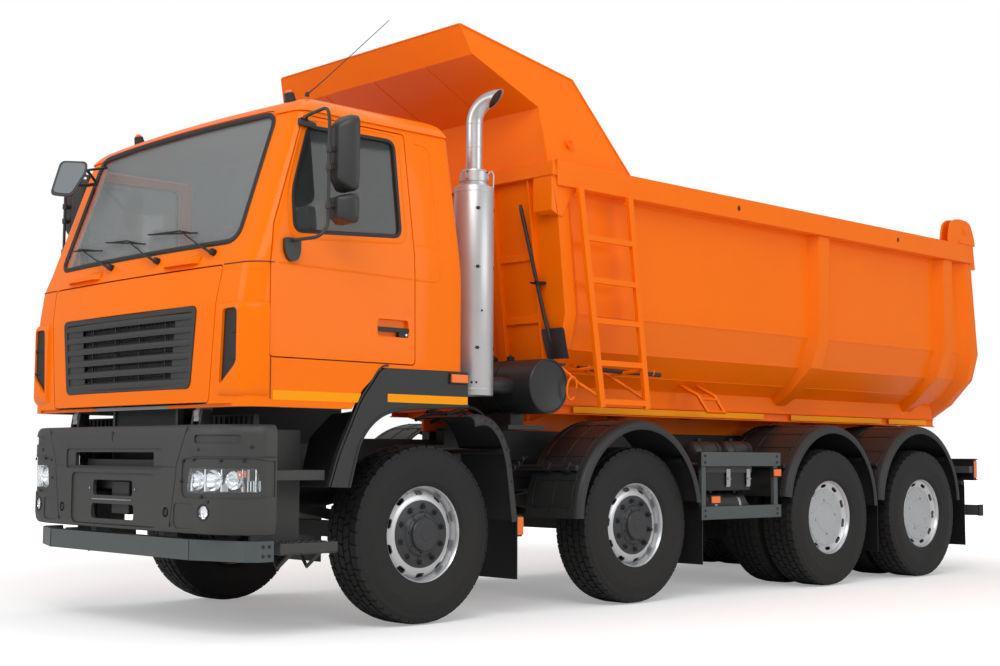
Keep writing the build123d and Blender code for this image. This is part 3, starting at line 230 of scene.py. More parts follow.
def tilted_block(bm, centre, size, turn=(0, 0, 0)):
    """Box of a size about a centre, turned by angles in degrees."""
    spin = Matrix.Rotation(math.radians(turn[2]), 3, "Z") @ Matrix.Rotation(math.radians(turn[1]), 3, "Y") \
        @ Matrix.Rotation(math.radians(turn[0]), 3, "X")
    made = bmesh.ops.create_cube(bm, size=1.0)["verts"]
    for vert in made:
        vert.co = spin @ Vector([vert.co[i] * size[i] for i in range(3)]) + Vector(centre)
    return made


def loft(bm, rings, closed=True, caps=True):
    """Skin between rings of equal point count."""
    made = [[bm.verts.new(p) for p in ring] for ring in rings]
    count = len(made[0])
    last = count if closed else count - 1
    for low, high in zip(made, made[1:]):
        for i in range(last):
            j = (i + 1) % count
            bm.faces.new((low[i], low[j], high[j], high[i]))
    if caps:
        bm.faces.new(list(reversed(made[0])))
        bm.faces.new(made[-1])
    return made


def tube(bm, path, radius, sides=12, caps=True, flat=1.0):
    """Round or flattened bar along a path."""
    path = [Vector(p) for p in path]
    across = None
    rings = []
    for i, spot in enumerate(path):
        ahead = path[min(i + 1, len(path) - 1)] - path[max(i - 1, 0)]
        ahead.normalize()
        if across is None:
            across = ahead.cross(Vector((0, 0, 1)) if abs(ahead.z) < 0.9 else Vector((1, 0, 0))).normalized()
        across = (across - ahead * across.dot(ahead)).normalized()
        up = across.cross(ahead)
        r = radius[i] if isinstance(radius, (list, tuple)) else radius
        rings.append([spot + across * (r * math.cos(math.tau * k / sides))
                      + up * (r * flat * math.sin(math.tau * k / sides)) for k in range(sides)])
    loft(bm, rings, caps=caps)
    return bm


def bend(points, radius, steps=6):
    """Path with its corners turned by arcs."""
    points = [Vector(p) for p in points]
    out = [points[0]]
    for before, corner, after in zip(points, points[1:], points[2:]):
        a, b = (before - corner), (after - corner)
        cut = min(radius, a.length * 0.49, b.length * 0.49)
        start, end = corner + a.normalized() * cut, corner + b.normalized() * cut
        for k in range(steps + 1):
            t = k / steps
            out.append(start * (1 - t) ** 2 + corner * 2 * t * (1 - t) + end * t ** 2)
    out.append(points[-1])
    return out


def rounded(points, radius, steps=5):
    """Closed polygon with its corners turned by arcs."""
    count = len(points)
    out = []
    for i in range(count):
        corner = Vector(points[i])
        a, b = Vector(points[i - 1]) - corner, Vector(points[(i + 1) % count]) - corner
        cut = min(radius, a.length * 0.49, b.length * 0.49)
        start, end = corner + a.normalized() * cut, corner + b.normalized() * cut
        for k in range(steps + 1):
            t = k / steps
            spot = start * (1 - t) ** 2 + corner * 2 * t * (1 - t) + end * t ** 2
            out.append((spot.x, spot.y))
    return out


def lathe(bm, profile, centre, axis=(1, 0, 0), count=48, arc=(0.0, 360.0)):
    """Ring turned about an axis; profile is (offset along the axis, radius)."""
    axis = Vector(axis).normalized()
    side = axis.cross(Vector((0, 0, 1)) if abs(axis.z) < 0.9 else Vector((0, 1, 0))).normalized()
    up = axis.cross(side)
    whole = abs(arc[1] - arc[0]) >= 359.9
    steps = count if whole else count + 1
    rings = []
    for k in range(steps):
        a = math.radians(arc[0] + (arc[1] - arc[0]) * k / count)
        away = side * math.cos(a) + up * math.sin(a)
        rings.append([Vector(centre) + axis * o + away * r for o, r in profile])
    if whole:
        rings.append(rings[0])
    loft(bm, rings, closed=True, caps=not whole)
    return bm


def disc(bm, centre, axis, radius, depth, sides=24, dome=0.0):
    """Short round boss that stands on its centre along its axis."""
    profile = [(0, 0.0001), (0, radius), (depth * 0.8, radius), (depth, radius * 0.85),
               (depth + dome, 0.0001)]
    return lathe(bm, profile, centre, axis, sides)


def temp(bm):
    """Throwaway object that holds a copy of a bmesh."""
    mesh = bpy.data.meshes.new("temp")
    bmesh.ops.recalc_face_normals(bm, faces=bm.faces)
    bm.to_mesh(mesh)
    made = bpy.data.objects.new("temp", mesh)
    bpy.context.scene.collection.objects.link(made)
    return made


def carve(base, *cuts):
    """Result of cutting a solid; each cut is an operation and a bmesh."""
    solid = temp(base)
    tools = []
    for operation, bm in cuts:
        tools.append(temp(bm))
        step = solid.modifiers.new("cut", "BOOLEAN")
        step.operation = operation
        step.solver = "EXACT"
        step.object = tools[-1]
    result = bpy.data.meshes.new_from_object(solid.evaluated_get(bpy.context.evaluated_depsgraph_get()))
    out = bmesh.new()
    out.from_mesh(result)
    for made in (solid, *tools):
        mesh = made.data
        bpy.data.objects.remove(made)
        bpy.data.meshes.remove(mesh)
    bpy.data.meshes.remove(result)
    return out


def new():
    """Empty bmesh."""
    return bmesh.new()


def join(bm, other):
    """Adds a copy of another bmesh."""
    spare = bpy.data.meshes.new("spare")
    other.to_mesh(spare)
    bm.from_mesh(spare)
    bpy.data.meshes.remove(spare)


def box_line(x0, x1, z0, z1, radius, steps=4):
    """Rounded rectangle."""
    return rounded([(x0, z0), (x1, z0), (x1, z1), (x0, z1)], radius, steps)


def mirrored(side, limits):
    """Limits along x given for the left side, in rising order on either side."""
    return sorted((side * limits[0], side * limits[1]))


def flank(bm, side, x, y, z):
    """Box on one side of the truck; x is given for the left side."""
    return block(bm, mirrored(side, x), y, z)


def softened(points, radius, steps=6):
    """Open plane line with its corners turned by arcs."""
    return [(p.x, p.y) for p in bend([(*p, 0) for p in points], radius, steps)]


# ---------------------------------------------------------------- camera, floor and light
def aim(place, right, up, back):
    """World matrix from a place and three axes."""
    return Matrix(((right.x, up.x, back.x, place.x), (right.y, up.y, back.y, place.y),
                   (right.z, up.z, back.z, place.z), (0, 0, 0, 1)))


YAW, PITCH, ROLL = 0.803, 0.084, 0.005
ahead = Vector((-math.sin(YAW) * math.cos(PITCH), math.cos(YAW) * math.cos(PITCH), math.sin(PITCH)))
level = ahead.cross(Vector((0, 0, 1))).normalized()
above = level.cross(ahead)
right = level * math.cos(ROLL) + above * math.sin(ROLL)
up = above * math.cos(ROLL) - level * math.sin(ROLL)
lens = bpy.data.cameras.new("camera")
lens.sensor_width = 36.0
lens.lens = 52.97
camera = bpy.data.objects.new("camera", lens)
bpy.context.scene.collection.objects.link(camera)
camera.matrix_world = aim(Vector((7.864, -8.557, 1.003)), right, up, -ahead)
bpy.context.scene.camera = camera
bpy.context.scene.view_settings.view_transform = "Standard"


def lamp(name, place, target, size, power, rgb=(1, 1, 1)):
    """Square soft light aimed at a point."""
    light = bpy.data.lights.new(name, "AREA")
    light.shape = "RECTANGLE"
    light.size, light.size_y = size
    light.energy = power
    light.color = rgb
    made = bpy.data.objects.new(name, light)
    bpy.context.scene.collection.objects.link(made)
    made.location = place
    made.rotation_mode = "QUATERNION"
    made.rotation_quaternion = (Vector(target) - Vector(place)).to_track_quat("-Z", "Y")
    return made


lamp("key", (7.0, -9.0, 9.5), (0, 0, 1.5), (7, 5), 560)
lamp("front", (-3.0, -13.0, 5.5), (0, -3.5, 1.8), (6, 5), 260)
lamp("side", (13.0, 3.5, 5.0), (0, 1.5, 1.8), (9, 5), 330)
lamp("top", (0.0, 0.5, 12.0), (0, 0.5, 0), (12, 12), 360)


def seen(tree, shader, dark, light):
    """Emission that a camera or glass sees as light and every other ray as dark; returns its ramp."""
    path = node(tree, "ShaderNodeLightPath")
    first = node(tree, "ShaderNodeMath", operation="MAXIMUM")
    tree.links.new(path.outputs["Is Camera Ray"], first.inputs[0])
    tree.links.new(path.outputs["Is Transmission Ray"], first.inputs[1])
    ramp = node(tree, "ShaderNodeMapRange")
    ramp.inputs["To Min"].default_value = dark
    ramp.inputs["To Max"].default_value = light
    tree.links.new(first.outputs[0], ramp.inputs["Value"])
    tree.links.new(ramp.outputs[0], shader.inputs["Strength"])
    return ramp


world = bpy.data.worlds.new("studio")
bpy.context.scene.world = world
world.use_nodes = True
sky = world.node_tree.nodes["Background"]
sky.inputs["Color"].default_value = (1, 1, 1, 1)
seen(world.node_tree, sky, 0.5, 1.0)

floor_mesh = new()
prism(floor_mesh, [(-90, -90), (90, -90), (90, 90), (-90, 90)], "xy", -0.02, 0.0)
floor_data = bpy.data.meshes.new("floor")
floor_mesh.to_mesh(floor_data)
floor = bpy.data.objects.new("floor", floor_data)
bpy.context.scene.collection.objects.link(floor)
floor_mat = bpy.data.materials.new("floor_white")
floor_mat.use_nodes = True
tree = floor_mat.node_tree
tree.nodes.remove(tree.nodes["Principled BSDF"])
paint = node(tree, "ShaderNodeBsdfDiffuse")
speckle = node(tree, "ShaderNodeTexNoise", Scale=2.0)
tone = node(tree, "ShaderNodeMapRange")
tone.inputs["To Min"].default_value = 0.80
tone.inputs["To Max"].default_value = 0.84
tree.links.new(speckle.outputs["Fac"], tone.inputs["Value"])
tree.links.new(tone.outputs[0], paint.inputs["Color"])
shine = node(tree, "ShaderNodeEmission")
glow = seen(tree, shine, 0.0, 0.3)
spot = node(tree, "ShaderNodeNewGeometry")
reach = node(tree, "ShaderNodeVectorMath", operation="LENGTH")
tree.links.new(spot.outputs["Position"], reach.inputs[0])
fade = node(tree, "ShaderNodeMapRange")
for key, value in (("From Min", 4.5), ("From Max", 11.0), ("To Min", 0.30), ("To Max", 0.95)):
    fade.inputs[key].default_value = value
tree.links.new(reach.outputs["Value"], fade.inputs["Value"])
tree.links.new(fade.outputs[0], glow.inputs["To Max"])
total = node(tree, "ShaderNodeAddShader")
tree.links.new(paint.outputs[0], total.inputs[0])
tree.links.new(shine.outputs[0], total.inputs[1])
tree.links.new(total.outputs[0], tree.nodes["Material Output"].inputs["Surface"])
floor_data.materials.append(floor_mat)

# ---------------------------------------------------------------- finishes of the CAD nodes
FINISH = {"frame_black": ["frame_rails", "crossmembers", "hoist_subframe", "chassis_tanks", "muffler_drum"],
          "cast_grey": ["engine_block", "front_axle_beams", "drive_axles", "leaf_springs", "drive_shafts",
                        *(f"{s}_knuckle_{i}" for _, s in SIDES for i in (1, 2))],
          "bumper_black": ["front_bumper", "cab_steps"], "lamp_glass": ["lamps"],
          "guard_grey": ["underrun_bars", "side_guards"], "arch_black": ["mudguards", "wheel_arches"],
          "stack_steel": ["exhaust_stack"],
          "cab_orange": ["cab_shell", "cab_roof", "corner_deflectors", "front_panel", "left_door",
                         "right_door"],
          "cab_glass": ["cab_glass"], "shaded_side_glass": ["left_door_glass", "right_door_glass"],
          "trim_grey": ["cab_floor"], "seat_fabric": ["seats"], "dash_dark": ["dashboard"],
          "rubber_black": ["steering_wheel", "grille"], "mirror_black": ["left_mirror", "right_mirror"],
          "bed_orange": ["bed_body", "bed_frame", "bed_canopy", "bed_ladder", "tailgate"],
          "lift_grey": ["ram_barrels"], "bright_steel": [f"ram_stage_{i}" for i in range(1, 5)],
          "tyre_black": [f"{s}_wheel_{i}" for _, s in SIDES for i in range(1, 5)]}
for look, names in FINISH.items():
    for name in names:
        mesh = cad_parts[name].data
        mesh.materials.clear()
        mesh.materials.append(M[look])

# ---------------------------------------------------------------- wheels
PITCHES = 45
WHEEL_Z = TREAD_RADIUS = 0.538
# tread rows: middle offset, half width, skew along the tread, top radius
ROWS = ((-0.1075, 0.0225, 0.006, 0.5335), (-0.0535, 0.0230, -0.007, 0.5372), (0.0, 0.0225, 0.007, 0.5378),
        (0.0535, 0.0230, -0.007, 0.5372), (0.1075, 0.0225, 0.006, 0.5335))
HALF_TYRE = [(0.126, 0.288), (0.134, 0.299), (0.1425, 0.312), (0.1475, 0.326), (0.1465, 0.333),
             (0.1515, 0.352),
             (0.1545, 0.380), (0.1550, 0.402), (0.1560, 0.408), (0.1560, 0.420), (0.1548, 0.426),
             (0.1530, 0.448),
             (0.1488, 0.470), (0.1440, 0.486), (0.1452, 0.491), (0.1425, 0.500), (0.1375, 0.510),
             (0.1320, 0.519),
             (0.1260, 0.5228)]
TYRE = ([(-o, r) for o, r in HALF_TYRE] + [(-0.06, 0.5245), (0.0, 0.525), (0.06, 0.5245)] + HALF_TYRE[::-1]
        + [(0.11, 0.294), (0.0, 0.31), (-0.11, 0.294)])
HALF_RIM = [(0.126, 0.298), (0.1205, 0.2985), (0.118, 0.291), (0.100, 0.286), (0.060, 0.276)]
HALF_BORE = [(0.126, 0.2885), (0.117, 0.2795), (0.096, 0.2735), (0.060, 0.264)]
RIM = HALF_RIM + [(-o, r) for o, r in reversed(HALF_RIM)] + [(-o, r) for o, r in HALF_BORE] + HALF_BORE[::-1]


def around(bm, radius, angle, offset, shape, depth):
    """Prism of a (tangent, radial) shape that stands on a wheel face at an angle."""
    c, s = math.cos(angle), math.sin(angle)
    rings = [[(offset + d, (radius + v) * c - u * s, (radius + v) * s + u * c) for u,
              v in shape] for d in (0, depth)]
    loft(bm, rings)


def circle(radius, count, turn=0.0):
    """Points of a regular polygon."""
    return [(radius * math.cos(math.tau * k / count + turn), radius * math.sin(math.tau * k / count + turn))
            for k in range(count)]


def oval(half_long, half_wide, steps=6):
    """Slot with round ends."""
    reach = half_long - half_wide
    ends = []
    for side in (1, -1):
        for k in range(steps + 1):
            a = -math.pi / 2 + math.pi * k / steps
            ends.append((side * (reach + half_wide * math.cos(a)), side * half_wide * math.sin(a)))
    return ends


def tyre_mesh():
    """Casing with ribbed sidewalls and rows of skewed, waisted tread blocks."""
    bm = lathe(new(), TYRE, (0, 0, 0), (1, 0, 0), 90)
    arc = math.tau / PITCHES
    for index, (middle, half, skew, top) in enumerate(ROWS):
        shift = 0.5 * arc * (index % 2)
        edge = 1 if middle > 0.1 else (-1 if middle < -0.1 else 0)
        for k in range(PITCHES):
            start = k * arc + shift
            outline = [(-half, -0.031 - skew), (0.0, -0.034), (half, -0.031 + skew), (half - 0.003, 0.0),
                       (half, 0.031 + skew), (0.0, 0.034), (-half, 0.031 - skew), (-half + 0.003, 0.0)]
            rings = []
            for low in (True, False):
                ring = []
                for across, along in outline:
                    outer = edge and across * edge > 0.01
                    o = middle + across + (edge * 0.0085 if outer and low else (edge * 0.003 if outer else 0))
                    r = (0.5225 if not outer else 0.508) if low else (top if not outer else top - 0.0055)
                    a = start + along / TREAD_RADIUS
                    ring.append((o, r * math.cos(a), r * math.sin(a)))
                rings.append(ring)
            loft(bm, rings)
    return bm


def bolts(bm, count, radius, offset, size, height, stud, turn=0.0):
    """Ring of hexagon nuts with their studs."""
    for k in range(count):
        a = math.tau * k / count + turn
        around(bm, radius, a, offset, circle(size * 1.25, 14), height * 0.18)
        around(bm, radius, a, offset + height * 0.18, circle(size, 6, 0.3), height * 0.82)
        around(bm, radius, a, offset + height, circle(stud, 10), height * 0.4)


def slots(base, count, radius, shape, low, depth, turn=0.0):
    """Disc with a ring of slots cut through it."""
    cut = new()
    for k in range(count):
        around(cut, radius, math.tau * k / count + turn, low, shape, depth)
    return carve(base, ("DIFFERENCE", cut))


tyre = tyre_mesh()
rim = lathe(new(), RIM, (0, 0, 0), (1, 0, 0), 72)
tube(rim, bend([(0.098, 0.2745, 0.0), (0.112, 0.272, 0.0), (0.124, 0.268, 0.0)], 0.01, 3), 0.0045, 8)
steer_disc = slots(lathe(new(),
                         [(0.040, 0.2735), (0.062, 0.268), (0.084, 0.250), (0.0945, 0.230), (0.0985, 0.205),
                                 (0.0985, 0.170), (0.0905, 0.170), (0.0905, 0.203), (0.087, 0.226),
                                 (0.076, 0.244),
                                 (0.054, 0.261), (0.032, 0.2675)], (0, 0, 0), (1, 0, 0), 90),
                   10, 0.2475, oval(0.031, 0.0135), 0.02, 0.12, 0.2)
drum = lathe(new(),
             [(-0.115, 0.190), (-0.115, 0.207), (-0.100, 0.213), (-0.085, 0.207), (0.006, 0.207),
              (0.024, 0.190),
                     (0.090, 0.170), (0.090, 0.090), (-0.008, 0.090), (-0.012, 0.190)], (0, 0, 0), (1, 0, 0),
                     60)
steer_hub = lathe(new(),
                  [(0.0975, 0.203), (0.1035, 0.2025), (0.1055, 0.198), (0.1055, 0.150), (0.1075, 0.138),
                          (0.118, 0.126), (0.121, 0.108), (0.126, 0.104), (0.1265, 0.1015), (0.140, 0.100),
                          (0.1455, 0.095), (0.1465, 0.040), (0.1495, 0.036), (0.1495, 0.0002),
                          (0.109, 0.0002),
                          (0.109, 0.09), (0.0975, 0.10)], (0, 0, 0), (1, 0, 0), 60)
bolts(steer_hub, 10, 0.1675, 0.1052, 0.0165, 0.021, 0.0095, 0.1)
bolts(steer_hub, 8, 0.112, 0.1195, 0.0065, 0.006, 0.003, 0.2)
dual_disc = slots(lathe(new(),
                        [(0.1005, 0.2765), (0.0955, 0.262), (0.0885, 0.246), (0.0835, 0.222), (0.0835, 0.19),
                                (0.0745, 0.19), (0.0745, 0.224), (0.0795, 0.250), (0.0865, 0.266),
                                (0.0905, 0.272)],
                        (0, 0, 0), (1, 0, 0), 90), 10, 0.248, oval(0.034, 0.0125), 0.05, 0.08, 0.1)
cover = lathe(new(),
              [(0.0765, 0.2235), (0.0865, 0.2235), (0.0895, 0.2195), (0.0895, 0.1205), (0.0870, 0.1180),
                      (0.0870, 0.1120), (0.0905, 0.1085), (0.0905, 0.0002), (0.0765, 0.0002)],
              (0, 0, 0), (1, 0, 0), 72)
cover_bolts = new()
bolts(cover_bolts, 4, 0.1335, 0.0893, 0.0095, 0.006, 0.004, 0.75)
bolts(cover_bolts, 10, 0.1985, 0.0893, 0.0045, 0.003, 0.002, 0.1)
inner_disc = lathe(new(), [(-0.242, 0.272), (-0.226, 0.272), (-0.226, 0.200), (-0.10, 0.188), (0.060, 0.150),
                           (0.072, 0.150), (0.072, 0.045), (-0.318, 0.045), (-0.318, 0.199), (-0.242, 0.199)],
                   (0, 0, 0), (1, 0, 0), 60)


def place(bm, side, x, y, turn, shift=0.0):
    """Copy of a wheel piece at its axle, outboard face outwards."""
    out = bm.copy()
    spin = Matrix.Rotation(turn, 4, "X")
    flip = Matrix.Diagonal((side, 1, 1, 1))
    out.transform(Matrix.Translation((side * x, y, WHEEL_Z)) @ flip @ Matrix.Translation((shift, 0,
                                                                                          0)) @ spin)
    return out


AXLES = ((1, -2.695), (2, -0.752), (3, 1.503), (4, 2.903))
STEER_X, DRIVE_X = 1.015, 1.095
# piece, mesh, finish, further turn, shift inboard, options
STEERED = (("tyre", tyre, "tyre_black", 0, 0, {"angle": 38}), ("rim", rim, "wheel_silver", 0, 0, {}),
           ("disc", steer_disc, "wheel_silver", 0, 0, {"bevel": 0.0015, "segments": 1}),
           ("drum", drum, "cast_grey", 0, 0, {}), ("hub", steer_hub, "hub_black", 0, 0, {"angle": 28}))
# The inner rim is the outer rim's mesh in hub black: painted shade deep between the twin tyres.
DRIVEN = (("tyre", tyre, "tyre_black", 0, 0, {"angle": 38}),
          ("inner_tyre", tyre, "tyre_black", 0.4, -0.35, {"angle": 38}),
          ("rim", rim, "wheel_silver", 0, 0, {}), ("inner_rim", rim, "hub_black", 0.4, -0.35, {}),
          ("disc", dual_disc, "wheel_silver", 0, 0, {"bevel": 0.0015, "segments": 1}),
          ("cover", cover, "cover_silver", 0, 0, {}), ("cover_bolts", cover_bolts, "bright_steel", 0, 0, {}),
          ("hub", inner_disc, "cast_grey", 0, 0, {}))
for side, word in SIDES:
    for index, y in AXLES:
        body = f"{word}_wheel_{index}"
        turn = rng.uniform(0, 6.28)
        x, pieces = (STEER_X, STEERED) if index < 3 else (DRIVE_X, DRIVEN)
        for tail, form, look, more, shift, options in pieces:
            put(f"{body}_{tail}", place(form, side, x, y, turn + more, shift), look, body,
                replaces=[body] if tail == "tyre" else (), **options)

# ---------------------------------------------------------------- cab shell, panels and glass
# plan sections: z, half width, front at the middle, front at the corner, corner radius, rear
SECTIONS = ((1.270, 1.250, -4.085, -4.050, 0.130, -2.475), (1.850, 1.250, -4.092, -4.052, 0.130, -2.475),
            (2.060, 1.250, -4.062, -4.022, 0.130, -2.475), (2.180, 1.246, -4.022, -3.968, 0.115, -2.480),
            (2.975, 1.190, -3.758, -3.688, 0.070, -2.562), (3.050, 1.115, -3.665, -3.605, 0.070, -2.585),
            (3.115, 0.880, -3.420, -3.390, 0.070, -2.780))
REAR_ROUND = 0.055


def section_at(z):
    """Section values at a height."""
    z = min(max(z, SECTIONS[0][0]), SECTIONS[-1][0])
    for low, high in zip(SECTIONS, SECTIONS[1:]):
        if z <= high[0]:
            t = (z - low[0]) / (high[0] - low[0])
            return [a + (b - a) * t for a, b in zip(low, high)]


def front_at(x, z):
    """y of the cab's front skin."""
    _, half, middle, corner, radius, _ = section_at(z)
    x = abs(x)
    turn = half - radius
    if x <= turn:
        return middle + (corner - middle) * (x / turn) ** 2
    return corner + radius - math.sqrt(max(0.0, radius ** 2 - (x - turn) ** 2))


def soft_sections():
    """Sections with each crease eased over a few rings."""
    out = [list(SECTIONS[0])]
    for before, here, after in zip(SECTIONS, SECTIONS[1:], SECTIONS[2:]):
        reach = min(0.03, 0.4 * (here[0] - before[0]), 0.4 * (after[0] - here[0]))
        low = [h + (b - h) * reach / (here[0] - before[0]) for h, b in zip(here, before)]
        high = [h + (a - h) * reach / (after[0] - here[0]) for h, a in zip(here, after)]
        for t in (0.0, 0.25, 0.5, 0.75, 1.0):
            out.append([(1 - t) ** 2 * a + 2 * t * (1 - t) * b + t * t * c for a, b,
                        c in zip(low, here, high)])
    out.append(list(SECTIONS[-1]))
    return out


def plan_ring(values, inset):
    """Plan outline of the cab at one section."""
    z, half, middle, corner, radius, rear = values
    x, r = half - inset, radius - 0.6 * inset
    turn, c = x - r, corner + inset
    ring = []
    for k in range(17):
        u = -turn + 2 * turn * k / 16
        ring.append((u, middle + inset + (c - middle - inset) * (u / turn) ** 2, z))
    for k in range(1, 9):
        a = math.pi / 2 * k / 8
        ring.append((turn + r * math.sin(a), c + r - r * math.cos(a), z))
    back, rr = rear - inset, max(0.01, REAR_ROUND - 0.6 * inset)
    for k in range(6):
        a = math.pi / 2 * k / 5
        ring.append((x - rr + rr * math.cos(a), back - rr + rr * math.sin(a), z))
    left = [(-px, py, pz) for px, py, pz in reversed(ring[17:])]
    return ring + left


def cab_skin(inset, low=None, high=None):
    """Closed solid of the cab drawn in by an inset."""
    rows = soft_sections()
    rows[0][0] -= 0.001 if inset > 0 else 0
    rows[-1][0] -= inset if inset > 0 else 0
    if low is not None:
        rows = [r for r in rows if r[0] > low + 0.004]
        edge = section_at(low)
        rows = [edge] + rows
    if high is not None:
        rows = [r for r in rows if r[0] < high - 0.004] + [section_at(high)]
    solid = new()
    loft(solid, [plan_ring(r, inset) for r in rows])
    return solid


def layer(outer, inner):
    """Shell between two insets."""
    return carve(cab_skin(outer), ("DIFFERENCE", cab_skin(inner)))


def grow(points, amount):
    """Convex outline pushed out by an amount along its edges' normals."""
    count = len(points)
    area = sum(points[i - 1][0] * points[i][1] - points[i][0] * points[i - 1][1] for i in range(count))
    sign = 1 if area > 0 else -1
    out = []
    for i in range(count):
        a, b, c = Vector(points[i - 1]), Vector(points[i]), Vector(points[(i + 1) % count])
        d1, d2 = (b - a).normalized(), (c - b).normalized()
        n1, n2 = Vector((d1.y, -d1.x)) * sign, Vector((d2.y, -d2.x)) * sign
        m = (n1 + n2).normalized()
        out.append(tuple(b + m * amount / max(0.35, m.dot(n1))))
    return out


DOOR = [(-3.912, 1.545), (-3.912, 2.060), (-3.878, 2.278), (-3.662, 2.925), (-2.935, 2.923), (-2.882, 2.200),
        (-2.874, 1.545)]
WINDOW = [(-3.752, 2.251), (-2.981, 2.300), (-3.014, 2.872), (-3.640, 2.864), (-3.758, 2.480)]
SCREEN = [(-1.010, 2.195), (1.010, 2.195), (0.990, 2.962), (-0.990, 2.962)]
REAR_PANE = [(-0.470, 2.260), (0.470, 2.260), (0.470, 2.740), (-0.470, 2.740)]
PANEL = [(-0.885, 1.296), (0.885, 1.296), (0.960, 2.055), (-0.960, 2.055)]
GRILLE = [(-0.714, 1.376), (0.714, 1.376), (0.770, 1.842), (-0.770, 1.842)]
door_line, window_line = rounded(DOOR, 0.022, 3), rounded(WINDOW, 0.055, 5)
screen_line, pane_line = rounded(SCREEN, 0.095, 8), rounded(REAR_PANE, 0.07, 6)
panel_line, grille_line = rounded(PANEL, 0.03, 4), rounded(GRILLE, 0.045, 6)
ARCH = [(-3.340, 1.200), (-3.340, 1.270), (-3.268, 1.380), (-3.119, 1.516), (-2.300, 1.520), (-2.300, 1.200)]


def side_x(z):
    """Half width of the cab's side at a height."""
    return section_at(z)[1]


def on_side(side, points, out=0.0):
    """Points (y, z) laid on the cab's side."""
    return [(side * (side_x(z) + out), y, z) for y, z in points]


def on_front(points, out=0.0):
    """Points (x, z) laid on the cab's front."""
    return [(x, front_at(x, z) - out, z) for x, z in points]


def fine(points, step=0.05, closed=True):
    """Polyline with its long edges split."""
    out = []
    pairs = list(zip(points, points[1:] + points[:1])) if closed else list(zip(points, points[1:]))
    for a, b in pairs:
        n = max(1, int(math.dist(a, b) / step))
        out += [tuple(u + (v - u) * k / n for u, v in zip(a, b)) for k in range(n)]
    return out if closed else out + [points[-1]]


def ring_tube(bm, path, radius, sides=8, flat=1.0, inward=None):
    """Closed bar along a closed path; flat squeezes it across the surface it lies on."""
    path = [Vector(p) for p in path]
    count = len(path)
    rings = []
    for i, spot in enumerate(path):
        ahead = (path[(i + 1) % count] - path[i - 1]).normalized()
        out = Vector(inward(spot)) if inward else Vector((0, -1, 0))
        out = (out - ahead * out.dot(ahead)).normalized()
        across = ahead.cross(out)
        rings.append([spot + across * (radius * math.cos(math.tau * k / sides))
                      + out * (radius * flat * math.sin(math.tau * k / sides)) for k in range(sides)])
    rings.append(rings[0])
    made = [[bm.verts.new(p) for p in ring] for ring in rings[:-1]]
    for i in range(count):
        low, high = made[i], made[(i + 1) % count]
        for k in range(sides):
            m = (k + 1) % sides
            bm.faces.new((low[k], low[m], high[m], high[k]))
    return bm


skin = layer(0.0, 0.045)
cuts = [("DIFFERENCE", prism(new(), ARCH, "yz", -1.4, 1.4)),
        ("DIFFERENCE", block(new(), (-1.1, 1.1), (-4.2, -4.035), (1.2, 1.288))),
        ("DIFFERENCE", prism(new(), screen_line, "xz", -4.3, -3.5)),
        ("DIFFERENCE", prism(new(), pane_line, "xz", -2.7, -2.4)),
        ("DIFFERENCE", prism(new(), grow(panel_line, 0.008), "xz", -4.3, -3.9))]
for side, _ in SIDES:
    low, high = sorted((side * 1.10, side * 1.32))
    cuts.append(("DIFFERENCE", prism(new(), grow(door_line, 0.007), "yz", low, high)))
put("cab_shell_skin", carve(skin, *cuts), "cab_orange", "cab", 0.0025, 2, 40,
    ["cab_shell", "cab_roof"])
put("cab_roof_cap", carve(cab_skin(-0.009, 2.958), ("DIFFERENCE", cab_skin(0.004, 2.90)),
                          ("DIFFERENCE", prism(new(), grow(screen_line, 0.03), "xz", -4.3, -3.3))),
    "cab_orange", "cab", 0.003, 2, 50)

glass_layer = layer(0.012, 0.018)
# The windscreen and rear pane wear the near-white copy of the glass: painted brightness.
glass = carve(glass_layer, ("INTERSECT", prism(new(), grow(screen_line, 0.004), "xz", -4.3, -3.2)))
put("cab_windscreen", glass, "cab_glass", "cab", replaces=["cab_glass"], angle=50)
glass = carve(glass_layer, ("INTERSECT", prism(new(), grow(pane_line, 0.004), "xz", -2.75, -2.3)))
put("cab_rear_pane", glass, "cab_glass", "cab", angle=50)
seal = new()
ring_tube(seal, on_front(fine(screen_line), 0.001), 0.0165, 10, 0.6)
path = [(x, section_at(z)[5] + 0.001, z) for x, z in fine(pane_line)]
ring_tube(seal, path, 0.014, 8, 0.6, lambda p: (0, 1, 0))
put("cab_screen_seals", seal, "rubber_black", "cab")

